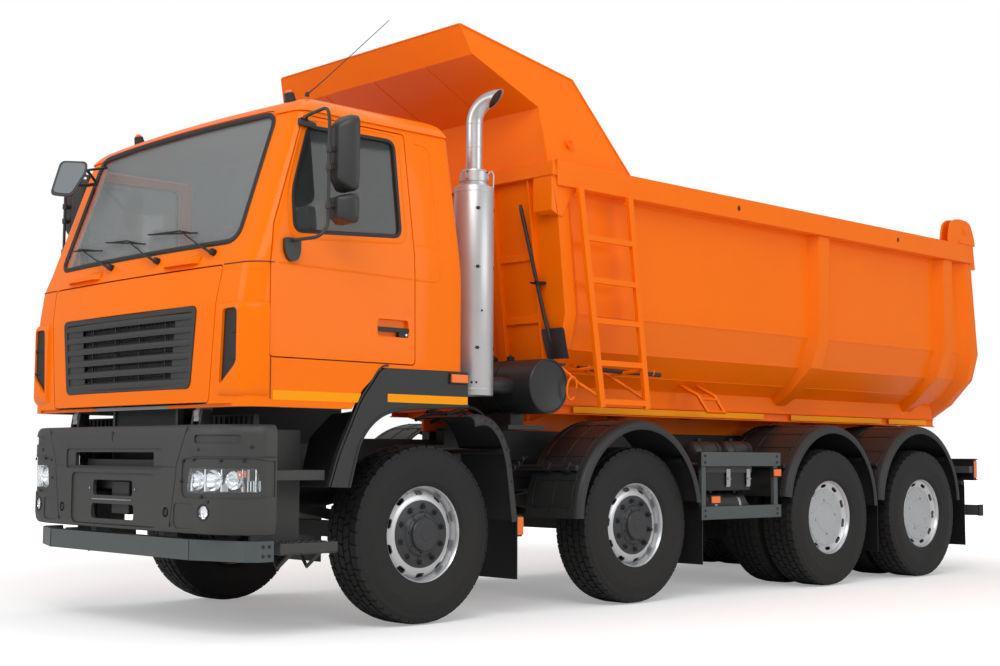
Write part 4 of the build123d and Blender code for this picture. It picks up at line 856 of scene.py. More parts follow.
for side, word in SIDES:
    low, high = sorted((side * 1.125, side * 1.30))
    leaf = carve(skin, ("INTERSECT", prism(new(), door_line, "yz", low, high)),
                 ("DIFFERENCE", prism(new(), window_line, "yz", low, high)),
                 ("DIFFERENCE", prism(new(), rounded([(-3.158, 1.700), (-2.925, 1.700), (-2.925, 1.802),
                                                      (-3.158, 1.802)], 0.02, 4), "yz",
                                      *sorted((side * 1.226, side * 1.3)))))
    body = f"{word}_door"
    put(f"{body}_skin", leaf, "cab_orange", body, 0.0025, 2, 40, [body])
    # The door pane wears the dark copy of the glass: painted shade of the cab's inside.
    pane = carve(glass_layer, ("INTERSECT", prism(new(), grow(window_line, 0.004), "yz", low, high)))
    put(f"{body}_pane", pane, "shaded_side_glass", body, replaces=[f"{word}_door_glass"], angle=50)
    outward = lambda p, s=side: (s, 0, 0.08)
    seal = ring_tube(new(), on_side(side, fine(window_line, 0.04), 0.0), 0.0115, 8, 0.6, outward)
    put(f"{body}_seal", seal, "rubber_black", body)
    frame_line = rounded(grow(WINDOW, 0.042), 0.085, 6)
    trim = ring_tube(new(), on_side(side, fine(frame_line, 0.04), -0.0025), 0.0075, 8, 0.7, outward)
    crease = fine([(-3.86, 2.062), (-2.90, 2.052)], 0.1, False)
    tube(trim, on_side(side, crease, -0.0035), 0.007, 8)
    put(f"{body}_pressings", trim, "cab_orange", body)
    grip = new()
    prism(grip, rounded([(side * 1.2545, -3.157), (side * 1.2545, -2.921), (side * 1.236, -2.925),
                         (side * 1.236, -3.153)], 0.004, 3), "xy", 1.729, 1.755)
    block(grip, sorted((side * 1.224, side * 1.240)), (-3.15, -3.125), (1.732, 1.752))
    block(grip, sorted((side * 1.224, side * 1.240)), (-2.958, -2.933), (1.732, 1.752))
    prism(grip, rounded([(-3.000, 1.700), (-2.925, 1.700), (-2.925, 1.735), (-3.000, 1.735)], 0.015, 4), "yz",
          *sorted((side * 1.226, side * 1.2515)))
    put(f"{body}_handle", grip, "rubber_black", body, 0.0025)
    put(f"{body}_lock", disc(new(), (side * 1.2510, -2.944, 1.716), (side, 0, 0), 0.008, 0.004, 16),
        "bright_steel",
        body)

# pressings of the cab's sides, seams and reflective strips
press = new()
seam = new()
strip = new()
for side, _ in SIDES:
    frame_path = [(-2.855, 2.885), (-2.735, 2.880), (-2.665, 2.055), (-2.872, 2.050)]
    tube(press, on_side(side, softened(frame_path, 0.07, 6), -0.0035), 0.0075, 8)
    tube(press, on_side(side, fine([(-2.865, 2.262), (-2.700, 2.262)], 0.1, False), -0.0045), 0.006, 8)
    corner = [(side * x, front_at(x, 2.061) - 0.0002, 2.061) for x in (0.968, 1.02, 1.08, 1.12)]
    for k in range(1, 9):
        a = math.pi / 2 * k / 8
        corner.append((side * (1.12 + 0.1302 * math.sin(a)), -3.892 - 0.1302 * math.cos(a), 2.061))
    tube(seam, corner + [(side * 1.2502, -3.918, 2.061)], 0.0028, 6)
    tube(seam, on_side(side, [(-3.905, 1.545), (-3.905, 1.31)], 0.0002), 0.0028, 6)
    prism(strip, rounded([(-3.887, 1.308), (-3.300, 1.308), (-3.275, 1.360), (-3.887, 1.360)], 0.004, 2),
          "yz",
          *sorted((side * 1.2498, side * 1.2512)))
put("cab_pressings", press, "cab_orange", "cab")
put("cab_seams", seam, "rubber_black", "cab")
put("cab_strips", strip, "stripe_yellow", "cab")

# ---------------------------------------------------------------- front flap with its grille
flap = carve(layer(0.0, 0.022), ("INTERSECT", prism(new(), panel_line, "xz", -4.3, -3.95)),
             ("DIFFERENCE", prism(new(), grille_line, "xz", -4.3, -3.9)))
put("flap_skin", flap, "cab_orange", "front_flap", 0.0025, 2, 40, ["front_panel"])


surround = new()
outer_line, inner_line = rounded(grow(GRILLE, -0.001), 0.045, 6), rounded(grow(GRILLE, -0.032), 0.035, 6)
near, far = 0.006, -0.022
made = []
for line, depth in ((outer_line, far), (outer_line, near), (inner_line, near - 0.004),
                    (inner_line, far - 0.012)):
    made.append([surround.verts.new(p) for p in on_front(line, depth)])
for a, b in zip(made, made[1:] + made[:1]):
    for i in range(len(a)):
        j = (i + 1) % len(a)
        surround.faces.new((a[i], a[j], b[j], b[i]))
put("grille_surround", surround, "mirror_black", "front_flap", 0.003, 2, 40, ["grille"])


def grille_half(z):
    """Half width of the grille opening at a height."""
    return 0.714 + (z - 1.376) * 0.056 / 0.466 - 0.026


louvers = new()
for index in range(6):
    z = 1.411 + 0.0742 * index
    half = grille_half(z)
    rings = []
    for k in range(13):
        x = -half + 2 * half * k / 12
        y = front_at(x, z)
        rings.append([(x, y + 0.001, z - 0.013), (x, y - 0.003, z + 0.004), (x, y + 0.003, z + 0.022),
                      (x, y + 0.020, z + 0.034), (x, y + 0.026, z + 0.030), (x, y + 0.012, z - 0.013)])
    loft(louvers, rings)
for side in (-1, 1):
    for z0 in (1.402, 1.476, 1.551, 1.625, 1.699, 1.773):
        half = grille_half(z0)
        inner = half - 0.19
        y = front_at(half * 0.86, z0) + 0.014
        tilted_block(louvers, (side * (half + inner) / 2, y, z0 + 0.052), (half - inner, 0.010, 0.046))
put("grille_louvers", louvers, "mirror_black", "front_flap", 0.002)
mesh_net = new()
for k in range(45):
    x = -0.68 + 1.36 * k / 44
    tube(mesh_net, [(x, front_at(x, 1.6) + 0.034, 1.385), (x, front_at(x, 1.6) + 0.034, 1.835)], 0.0022, 4)
for k in range(22):
    z = 1.395 + 0.0205 * k
    half = grille_half(z) + 0.012
    tube(mesh_net, [(x, front_at(x, 1.6) + 0.0335, z) for x in [-half + 2 * half * t / 8 for t in range(9)]],
         0.0022, 4)
for x in (-0.42, -0.14, 0.14, 0.42):
    tube(mesh_net, [(x, front_at(x, 1.6) + 0.026, 1.385), (x, front_at(x, 1.6) + 0.026, 1.835)], 0.006, 6)
put("grille_mesh", mesh_net, "frame_black", "front_flap")
# Black sheet just behind the grille's opening: painted shade of the dark space behind the grille.
back = new()
block(back, (-0.72, 0.72), (-4.046, -4.043), (1.38, 1.84))
put("grille_shade_sheet", back, "rubber_black", "front_flap", 0.001)

# ---------------------------------------------------------------- corner air deflectors
vent = new()
PLAN = [(0.978, -4.050, 0, 0), (0.986, -4.076, 0, 1), (1.150, -4.074, 0, 1), (1.186, -4.060, -0.5, 0.8),
        (1.238, -4.016, -0.7, 0.6), (1.268, -3.962, -1, 0.3), (1.274, -3.930, -1, 0), (1.240, -3.930, 0, 0),
        (1.206, -3.990, 0, 0), (1.125, -4.042, 0, 0)]
VENT = [(1.006, 1.385), (1.160, 1.500), (1.160, 1.808), (1.030, 1.808)]
ducts = new()
for side, _ in SIDES:
    shell_rows = []
    for z, pull in ((1.322, 0.030), (1.334, 0.014), (1.352, 0.004), (1.375, 0.0), (1.800, 0.0),
                    (1.822, 0.004),
                    (1.836, 0.014), (1.842, 0.030)):
        shell_rows.append([(side * (x + dx * pull), y + dy * pull, z) for x, y, dx, dy in PLAN])
    mouth = [(side * x, z) for x, z in rounded(VENT, 0.03, 5)]
    duct = new()
    loft(duct, shell_rows)
    duct = carve(duct, ("DIFFERENCE", prism(new(), mouth, "xz", -4.3, -4.0)))
    join(ducts, duct)
    # Black plate across each mouth, behind its two slats: painted shade inside the duct.
    prism(vent, [(side * x, z) for x, z in rounded(grow(VENT, 0.006), 0.03, 5)], "xz", -4.0585, -4.0535)
    for z in (1.522, 1.670):
        prism(vent, [(side * x, y) for x, y in ((1.075, -4.058), (1.158, -4.072), (1.158, -4.056))], "xy", z,
              z + 0.010)
put("deflector_ducts", ducts, "cab_orange", "cab", 0.006, 3, 35, ["corner_deflectors"])
put("deflector_vents", vent, "rubber_black", "cab", 0.002)

# ------------------------------------------------ wipers, steps, lamps and aerial on the cab's front
wiper = new()
for pivot, elbow, blade in (((0.836, 2.139), (0.454, 2.305), ((0.077, 2.325), (0.614, 2.279))),
                            ((0.279, 2.138), (-0.129, 2.306), ((-0.447, 2.332), (0.074, 2.267))),
                            ((-0.264, 2.148), (-0.772, 2.321), ((-0.924, 2.325), (-0.464, 2.280)))):
    px, pz = pivot
    base = (px, front_at(px, pz), pz)
    disc(wiper, base, (0, -1, 0.3), 0.020, 0.030, 16, 0.004)
    tip = (elbow[0], front_at(*elbow) - 0.030, elbow[1])
    knee = tuple(a + (b - a) * 0.35 for a, b in zip((px, front_at(px, pz) - 0.030, pz), tip))
    tube(wiper, [(px, front_at(px, pz) - 0.026, pz), (knee[0], knee[1] - 0.006, knee[2])], [0.013, 0.010], 8,
         flat=0.6)
    tube(wiper, [(knee[0], knee[1] - 0.006, knee[2]), tip], 0.0065, 8, flat=0.6)
    (x0, z0), (x1, z1) = blade
    line = [(x0 + (x1 - x0) * t, z0 + (z1 - z0) * t) for t in [k / 8 for k in range(9)]]
    tube(wiper, on_front(line, 0.012), 0.0055, 6)
    third = [line[1], line[4], line[7]]
    tube(wiper, [(third[0][0], front_at(*third[0]) - 0.014, third[0][1]), tip,
                 (third[2][0], front_at(*third[2]) - 0.014, third[2][1])], 0.006, 6)
put("cab_wipers", wiper, "rubber_black", "cab")

tread = new()
for x0, x1 in ((-0.80, -0.37), (0.37, 0.725)):
    count = 8
    rings = []
    for k in range(count + 1):
        x = x0 + (x1 - x0) * k / count
        y = front_at(x, 2.115)
        rise = 0.022 if k >= count - 2 else 0.0
        reach = 0.045 if 0 < k < count else 0.012
        rings.append([(x, y + 0.012, 2.100), (x, y - reach, 2.086), (x, y - reach, 2.094 + rise),
                      (x, y + 0.012, 2.122 + rise)])
    loft(tread, rings)
put("cab_footholds", tread, "cab_orange", "cab", 0.005, 3)
lamps_base, lamps_dome = new(), new()
for side in (-1, 1):
    spot = (side * 0.855, -3.520, 3.088)
    lathe(lamps_base,
          [(0, 0.0001), (0, 0.036), (0.026, 0.032), (0.046, 0.030), (0.052, 0.024), (0.052, 0.0001)], spot,
          (0, -0.25, 1), 20)
    top = (side * 0.855, -3.533, 3.138)
    lathe(lamps_dome, [(0, 0.0001), (0, 0.021), (0.008, 0.020), (0.015, 0.014), (0.018, 0.0001)], top,
          (0, -0.25, 1), 20)
put("roof_lamp_bases", lamps_base, "rubber_black", "cab")
put("roof_lamp_domes", lamps_dome, "amber_lens", "cab")
aerial = new()
lathe(aerial, [(0, 0.0001), (0, 0.014), (0.012, 0.013), (0.026, 0.008), (0.03, 0.0001)],
      (1.085, -3.570, 3.068),
      (0.2, 0, 1), 16)
tube(aerial, [(1.087, -3.570, 3.08), (1.095, -3.45, 3.19), (1.10, -3.27, 3.362), (1.10, -2.977, 3.64)],
     [0.0045, 0.003, 0.0025, 0.002], 6)
put("roof_aerial", aerial, "rubber_black", "cab")

# ---------------------------------------------------------------- bumper with its lamps
BUMPER_LINE = [(0.0, -4.150), (0.755, -4.140), (1.060, -4.112), (1.250, -3.935), (1.250, -3.850)]
half_line = softened(BUMPER_LINE, 0.13, 6)
LEVELS = ((0.571, 0.045), (0.577, 0.020), (0.600, 0.006), (0.640, 0.0), (1.120, 0.0), (1.150, 0.006),
          (1.168, 0.018),
          (1.173, 0.034))


def drawn_in(line, inset):
    """Open plan line moved inwards (towards the truck) by an inset."""
    out = []
    for i, spot in enumerate(line):
        a, b = Vector(line[max(i - 1, 0)]), Vector(line[min(i + 1, len(line) - 1)])
        along = (b - a).normalized()
        out.append((spot[0] - along.y * inset, spot[1] + along.x * inset))
    return out


def bumper_plan(inset, z):
    """Whole outer line at a height."""
    ease = 0.0
    for (z0, e0), (z1, e1) in zip(LEVELS, LEVELS[1:]):
        if z0 <= z <= z1:
            ease = e0 + (e1 - e0) * (z - z0) / (z1 - z0)
    right_line = drawn_in(half_line, inset + ease)
    return [(-x, y) for x, y in reversed(right_line[1:])] + right_line


def bumper_solid(inset, back=-3.80):
    """Filled bumper, drawn in by an inset and closed along a straight back."""
    bm = new()
    rings = []
    for z, _ in LEVELS:
        line = bumper_plan(inset, z)
        low = z + (inset if z < 0.8 else -inset) * (0.0 if inset < 0.02 else 1.0)
        rings.append([(x, y, low) for x, y in [(line[0][0], back)] + line + [(line[-1][0], back)]])
    loft(bm, rings)
    return bm


def bumper_y(x):
    """Front skin of the bumper."""
    x = abs(x)
    for (x0, y0), (x1, y1) in zip(half_line, half_line[1:]):
        if x0 <= x <= x1 and x1 > x0:
            return y0 + (y1 - y0) * (x - x0) / (x1 - x0)
    return -3.90


def dent(outline, depth):
    """Cutter for a recess of even depth in the bumper's skin."""
    return ("DIFFERENCE",
            carve(prism(new(), outline, "xz", -4.3, -3.86), ("DIFFERENCE", bumper_solid(depth))))


LAMP = [(0.803, 0.797), (1.236, 0.803), (1.222, 0.934), (0.822, 0.936)]
lamp_line = rounded(LAMP, 0.028, 4)
shell = carve(bumper_solid(0.0, -3.85), ("DIFFERENCE", bumper_solid(0.032, -3.70)))
deep = [("DIFFERENCE", prism(new(), box_line(-0.455, 0.455, 0.935, 1.020, 0.014), "xz", -4.3, -4.0)),
        ("DIFFERENCE", prism(new(), box_line(-0.228, 0.228, 0.765, 0.856, 0.026), "xz", -4.3, -4.0)),
        ("DIFFERENCE", prism(new(), box_line(-0.245, 0.245, 0.626, 0.716, 0.026), "xz", -4.3, -4.0))]
shallow = [dent(box_line(-0.56, 0.56, 0.922, 1.042, 0.03), 0.007),
           dent(box_line(-0.485, 0.485, 0.592, 0.898, 0.04), 0.009)]
for side, _ in SIDES:
    flip = lambda line, s=side: [(s * x, z) for x, z in line]
    shallow += [dent(flip(box_line(0.752, 1.262, 0.768, 0.988, 0.05)), 0.006),
                dent(flip(box_line(0.860, 1.156, 1.068, 1.116, 0.022)), 0.009),
                dent(flip(box_line(0.68, 0.86, 0.600, 0.740, 0.03)), 0.004)]
    deep.append(("DIFFERENCE", prism(new(), flip(lamp_line), "xz", -4.3, -3.86)))
    deep.append(("DIFFERENCE",
                 prism(new(), [(side * (0.944 + x), 0.693 + z) for x, z in circle(0.046, 28)], "xz",
                                     -4.3, -3.9)))
    deep.append(("DIFFERENCE",
                 prism(new(), [(side * (0.600 + x), 0.685 + z) for x, z in circle(0.030, 24)], "xz",
                                     -4.3, -4.128)))
put("bumper_skin", carve(shell, *shallow, *deep), "bumper_black", "root", 0.003, 2, 40, ["front_bumper"])

seams, bright, chrome, lens, ambers, dark = new(), new(), new(), new(), new(), new()
lens_layer = carve(bumper_solid(0.005), ("DIFFERENCE", bumper_solid(0.010)))
for side, word in SIDES:
    line = [(side * x, bumper_y(x) + 0.0006, z) for x,
            z in ((0.800, 1.165), (0.745, 1.05), (0.698, 0.945), (0.697, 0.90),
                                                        (0.640, 0.606))]
    tube(seams, line, 0.0028, 6)
    spots = [(side * x, y) for x, y in drawn_in(half_line, 0.0004) if x >= 0.80]
    tube(seams, [(x, y, 0.996) for x, y in spots], 0.0028, 6)
    tube(seams, [(side * x, bumper_y(x) + 0.0006, 0.938) for x in (0.0, 0.2, 0.4, 0.6, 0.696)], 0.0024, 6)
    for x, z in ((0.762, 0.972), (0.860, 0.980), (1.060, 0.976), (1.170, 0.976), (0.748, 0.86), (0.93, 0.778),
                 (0.985, 0.752), (1.20, 1.05), (0.90, 1.035)):
        disc(dark, (side * x, bumper_y(x) + 0.002, z), (side * 0.3, -1, 0), 0.009, 0.007, 12, 0.002)
    disc(dark, (side * 0.600, -4.132, 0.685), (0, -1, 0), 0.018, 0.010, 18, 0.003)
    disc(bright, (side * 0.262, -4.139, 0.806), (0, -1, 0), 0.006, 0.005, 10, 0.001)
    outline = [(side * x, z) for x, z in lamp_line]
    glass = carve(lens_layer, ("INTERSECT", prism(new(), outline, "xz", -4.3, -3.88)))
    put(f"headlamp_lens_{word}", glass, "lamp_glass", "root",
        replaces=["lamps"] if side > 0 else (), angle=60)
    for x, z, r, lean in ((0.872, 0.866, 0.054, 0.0), (0.992, 0.868, 0.058, 0.12),
                          (1.100, 0.868, 0.050, 0.35)):
        bowl = [(0.0, 0.0001), (0.002, r * 0.25), (0.010, r * 0.5), (0.026, r * 0.8), (0.046, r),
                (0.043, r * 1.05),
                (0.020, r * 0.84), (0.003, r * 0.54), (-0.006, 0.0001)]
        lathe(chrome, bowl, (side * x, bumper_y(x) + 0.070, z), (side * lean, -1, 0), 28)
        lathe(bright, [(0, 0.0001), (0, 0.010), (0.024, 0.010), (0.034, 0.006), (0.036, 0.0001)],
              (side * x, bumper_y(x) + 0.066, z), (side * lean, -1, 0), 14)
    for x, w in ((0.815, 0.012), (0.932, 0.010), (1.047, 0.010), (1.150, 0.010), (1.205, 0.016)):
        tilted_block(chrome, (side * x, bumper_y(x) + 0.045, 0.867), (w, 0.05, 0.120), (0, 0, side * 14))
    for k in range(5):
        tilted_block(chrome, (side * (1.165 + 0.012 * k), bumper_y(1.165 + 0.012 * k) + 0.040, 0.838),
                     (0.005, 0.03, 0.056),
                     (0, 0, side * 40))
    tilted_block(ambers, (side * 1.146, bumper_y(1.146) + 0.026, 0.902), (0.052, 0.012, 0.036),
                 (0, 0, side * 36))
    tilted_block(ambers, (side * 1.150, bumper_y(1.150) + 0.024, 0.826), (0.018, 0.010, 0.018),
                 (0, 0, side * 36))
    spot = (side * 0.944, bumper_y(0.944) + 0.030, 0.693)
    lathe(chrome,
          [(0.0, 0.0001), (0.004, 0.018), (0.016, 0.033), (0.026, 0.037), (0.024, 0.040), (0.012, 0.037),
                   (-0.004, 0.0001)], spot, (side * 0.15, -1, 0), 24)
    lathe(lens, [(0.020, 0.0001), (0.020, 0.036), (0.024, 0.036), (0.028, 0.022), (0.030, 0.0001)], spot,
          (side * 0.15, -1, 0), 24)
    lathe(dark, [(0.0, 0.038), (0.030, 0.038), (0.032, 0.047), (-0.020, 0.052), (-0.02, 0.042)], spot,
          (side * 0.15, -1, 0), 28)
tube(bright, [(-0.23, bumper_y(0.2) + 0.008, 0.742), (0.23, bumper_y(0.2) + 0.008, 0.742)], 0.006, 6,
     flat=0.6)
prism(dark, [(0.003, 1.085), (0.011, 1.085), (0.010, 1.122), (0.004, 1.122)], "xz", -4.1515, -4.1485)
disc(dark, (0.007, -4.1490, 1.130), (0, -1, 0), 0.013, 0.003, 16)
put("bumper_seams", seams, "rubber_black", "root")
put("bumper_screws", dark, "rubber_black", "root")
radiator = new()
block(radiator, (-1.00, 1.00), (-3.835, -3.800), (1.000, 1.235))
for k in range(40):
    x = -0.975 + 0.05 * k
    block(radiator, (x - 0.004, x + 0.004), (-3.845, -3.834), (1.010, 1.225))
put("radiator_face", radiator, "rubber_black", "root", 0.001)
put("bumper_bright", bright, "bright_steel", "root")
put("headlamp_bowls", chrome, "lamp_chrome", "root")
put("fog_lenses", lens, "lamp_glass", "root")
put("headlamp_ambers", ambers, "amber_lens", "root", 0.003)

# radiator and tow eye seen through the slots
core = new()
for k in range(40):
    z = 0.74 + 0.0138 * k
    block(core, (-0.33, 0.36), (-3.934, -3.928), (z, z + 0.006))
block(core, (-0.33, 0.36), (-3.928, -3.905), (0.73, 1.29))
put("radiator_core", core, "cast_grey", "root")
plates = new()
for x in (-0.345, 0.375):
    block(plates, (x - 0.012, x + 0.012), (-3.945, -3.905), (0.70, 1.30))
put("radiator_sides", plates, "guard_grey", "root", 0.002)
tow = new()
block(tow, (-0.10, 0.10), (-4.085, -3.99), (0.655, 0.850))
block(tow, (-0.43, 0.43), (-4.07, -4.045), (0.800, 0.980))
put("tow_block", tow, "frame_black", "root", 0.006)

# ---------------------------------------------------------------- steps and the underrun bar
treads = new()
rims = new()
for side, _ in SIDES:
    for z, y0, y1 in ((0.920, -3.815, -3.52), (0.520, -3.775, -3.42)):
        for i in range(4):
            for k in range(8):
                spot = (side * (1.005 + 0.055 * i), y0 + (y1 - y0) * k / 7 + 0.01 * (i % 2), z - 0.001)
                lathe(treads, [(0, 0.009), (0, 0.016), (0.006, 0.014), (0.006, 0.010)], spot, (0, 0, 1), 8)
        flank(rims, side, (1.198, 1.214), (y0 - 0.018, y1 + 0.022), (z - 0.052, z + 0.004))
    for y in (-3.70, -3.50):
        tube(rims, [(side * 1.19, y, 0.47), (side * 1.06, y, 0.38), (side * 0.99, y, 0.46)], 0.012, 8)
put("step_teeth", treads, "bumper_black", "root")
put("step_edges", rims, "bumper_black", "root", 0.005)
joints = new()
for side in (-1, 1):
    block(joints, sorted((side * 0.796, side * 0.800)), (-4.112, -4.06), (0.430, 0.539))
    for y, z in ((-3.90, 0.46), (-3.90, 0.51), (-3.86, 0.46), (-3.86, 0.51)):
        disc(joints, (side * 1.204, y, z), (side, 0, 0), 0.009, 0.007, 10)
put("underrun_joints", joints, "rubber_black", "root", 0.001)

# ---------------------------------------------------------------- mirrors
MIRROR_X = 1.412
for side, word in SIDES:
    body = f"{word}_door"
    arm, case, face = new(), new(), new()
    ahead_y = 0.0 if side > 0 else -0.110
    tube_y = -3.652 + ahead_y
    tube(arm, bend([(side * 1.197, -3.645, 2.884), (side * 1.25, -3.70, 2.905),
                    (side * 1.40, tube_y - 0.008, 2.938),
                    (side * MIRROR_X, tube_y, 2.88), (side * MIRROR_X, tube_y, 2.27),
                    (side * 1.40, min(-3.70, tube_y), 2.205), (side * 1.30, -3.785, 2.190),
                    (side * 1.247, -3.786, 2.190)],
                   0.05, 5), 0.0098, 12)
    for z in (2.70, 2.60, 2.385):
        lathe(arm, [(-0.018, 0.010), (-0.018, 0.017), (0.018, 0.017), (0.018, 0.010)],
              (side * MIRROR_X, tube_y, z),
              (0, 0, 1), 16)
        tube(arm, [(side * MIRROR_X, tube_y, z), (side * 1.42, tube_y + 0.052, z)], 0.014, 10)
    foot = [(-3.835, 2.130), (-3.815, 2.085), (-3.780, 2.070), (-3.745, 2.085), (-3.728, 2.130),
            (-3.728, 2.205),
            (-3.835, 2.205)]
    prism(arm, rounded(foot, 0.02, 4), "yz", *sorted((side * 1.2455, side * 1.272)))
    head = [(-3.71, 2.862), (-3.60, 2.850), (-3.60, 2.885), (-3.71, 2.905)]
    prism(arm, rounded(head, 0.012, 3), "yz", *sorted((side * 1.192, side * 1.222)))
    for z0, z1, y0, y1 in ((2.475, 2.905, -3.640, -3.435), (2.293, 2.458, -3.640, -3.465)):
        y0, y1 = y0 + ahead_y, y1 + ahead_y
        corner = 0.05 if z1 > 2.6 else 0.04
        sets = ((0.0, 0.0, 0.46), (0.024, 0.004, 0.70), (0.070, 0.0, 0.98), (0.105, 0.0, 1.0),
                (0.112, 0.006, 1.0))
        middle_x, middle_z = side * 1.418, (z0 + z1) / 2
        rings = []
        for depth, trim_in, share in sets:
            half_x, half_z = 0.094 * share - trim_in, (z1 - z0) / 2 * (0.45 + 0.55 * share) - trim_in
            shape = rounded([(-half_x, -half_z), (half_x, -half_z), (half_x, half_z), (-half_x, half_z)],
                            corner * share, 5)
            rings.append([(middle_x + u, y0 + 0.02 + depth, middle_z + v) for u, v in shape])
        loft(case, rings)
        half_x, half_z = 0.083, (z1 - z0) / 2 - 0.012
        shape = rounded([(-half_x, -half_z), (half_x, -half_z), (half_x, half_z), (-half_x, half_z)],
                        corner * 0.8, 5)
        prism(face, [(middle_x + u, middle_z + v) for u, v in shape], "xz", y0 + 0.131, y0 + 0.134)
    put(f"{body}_mirror_arm", arm, "mirror_black", body, 0.002, replaces=[f"{word}_mirror"])
    put(f"{body}_mirror_cases", case, "mirror_black", body, 0.004, 2, 45)
    put(f"{body}_mirror_faces", face, "mirror_glass", body)
# near-view mirror over the far front corner, on its two brackets
kerb, glass = new(), new()
FACE = [(-0.112, -0.112), (0.022, -0.120), (0.112, 0.045), (0.118, 0.122), (-0.052, 0.118)]
outer_face, inner_face = rounded(FACE, 0.035, 5), rounded(grow(FACE, -0.013), 0.03, 5)
spin = Matrix.Translation((-0.805, -4.058, 2.775)) @ Matrix.Rotation(math.radians(62), 4, "Z") @ \
    Matrix.Rotation(math.radians(-8), 4, "X")
loft(kerb, [[(u * 0.86, 0.045, v * 0.86) for u, v in outer_face], [(u, 0.020, v) for u, v in outer_face],
            [(u, -0.006, v) for u, v in outer_face]])
loft(glass, [[(u, -0.004, v) for u, v in inner_face], [(u * 0.99, -0.010, v * 0.99) for u, v in inner_face]])
kerb.transform(spin)
glass.transform(spin)
tube(kerb, bend([(-0.82, -4.03, 2.79), (-0.86, -3.90, 2.86), (-0.90, -3.735, 2.905)], 0.03, 4), 0.009, 8)
tube(kerb, [(-0.83, -4.03, 2.74), (-0.86, -3.90, 2.76), (-0.92, -3.795, 2.79)], 0.012, 8)
tube(kerb, [(-0.86, -3.90, 2.86), (-0.92, -3.80, 2.80)], 0.010, 8)
put("near_mirror_case", kerb, "mirror_black", "cab", 0.002)
put("near_mirror_face", glass, "mirror_glass", "cab")

# ---------------------------------------------------------------- mudguards
GUARDS = ((-0.790, 0.600, 0.662, 8, 180, 0.760, -0.050), (1.545, 0.620, 0.650, 0, 172, 0.580, 2.290),
          (2.880, 0.620, 0.664, 2, 176, 0.580, 3.740))
HALF_GUARD = [(-1.974, 0.604), (-2.011, 0.856), (-2.030, 0.980), (-2.074, 1.107), (-2.130, 1.190),
              (-2.206, 1.250),
              (-2.290, 1.268), (-2.377, 1.250)]


def guard_section(inner_x):
    """Sheet with a rounded outer edge and a hanging lip, as (x, offset from the outer line)."""
    return [(inner_x, 0.0), (1.190, 0.0), (1.216, -0.003), (1.236, -0.012), (1.246, -0.028), (1.247, -0.058),
            (1.243, -0.066), (1.236, -0.064), (1.235, -0.032), (1.226, -0.020), (1.210, -0.011),
            (1.190, -0.008),
            (inner_x, -0.008)]


def curved(bm, side, stations, section):
    """Section carried along stations of (y, z, normal y, normal z)."""
    loft(bm, [[(side * x, y + ny * drop, z + nz * drop) for x, drop in section] for y, z, ny, nz in stations])


def arc_stations(middle_y, middle_z, radius, start, end, steps):
    """Stations on a circle, angles from the rear over the top."""
    out = []
    for k in range(steps + 1):
        a = math.radians(start + (end - start) * k / steps)
        out.append((middle_y + radius * math.cos(a), middle_z + radius * math.sin(a), math.cos(a),
                    math.sin(a)))
    return out


def line_stations(points):
    """Stations on an open line whose outside lies on its left."""
    out = []
    for i, spot in enumerate(points):
        a, b = Vector(points[max(i - 1, 0)]), Vector(points[min(i + 1, len(points) - 1)])
        ahead = (b - a).normalized()
        out.append((spot[0], spot[1], ahead.y, -ahead.x))
    return out


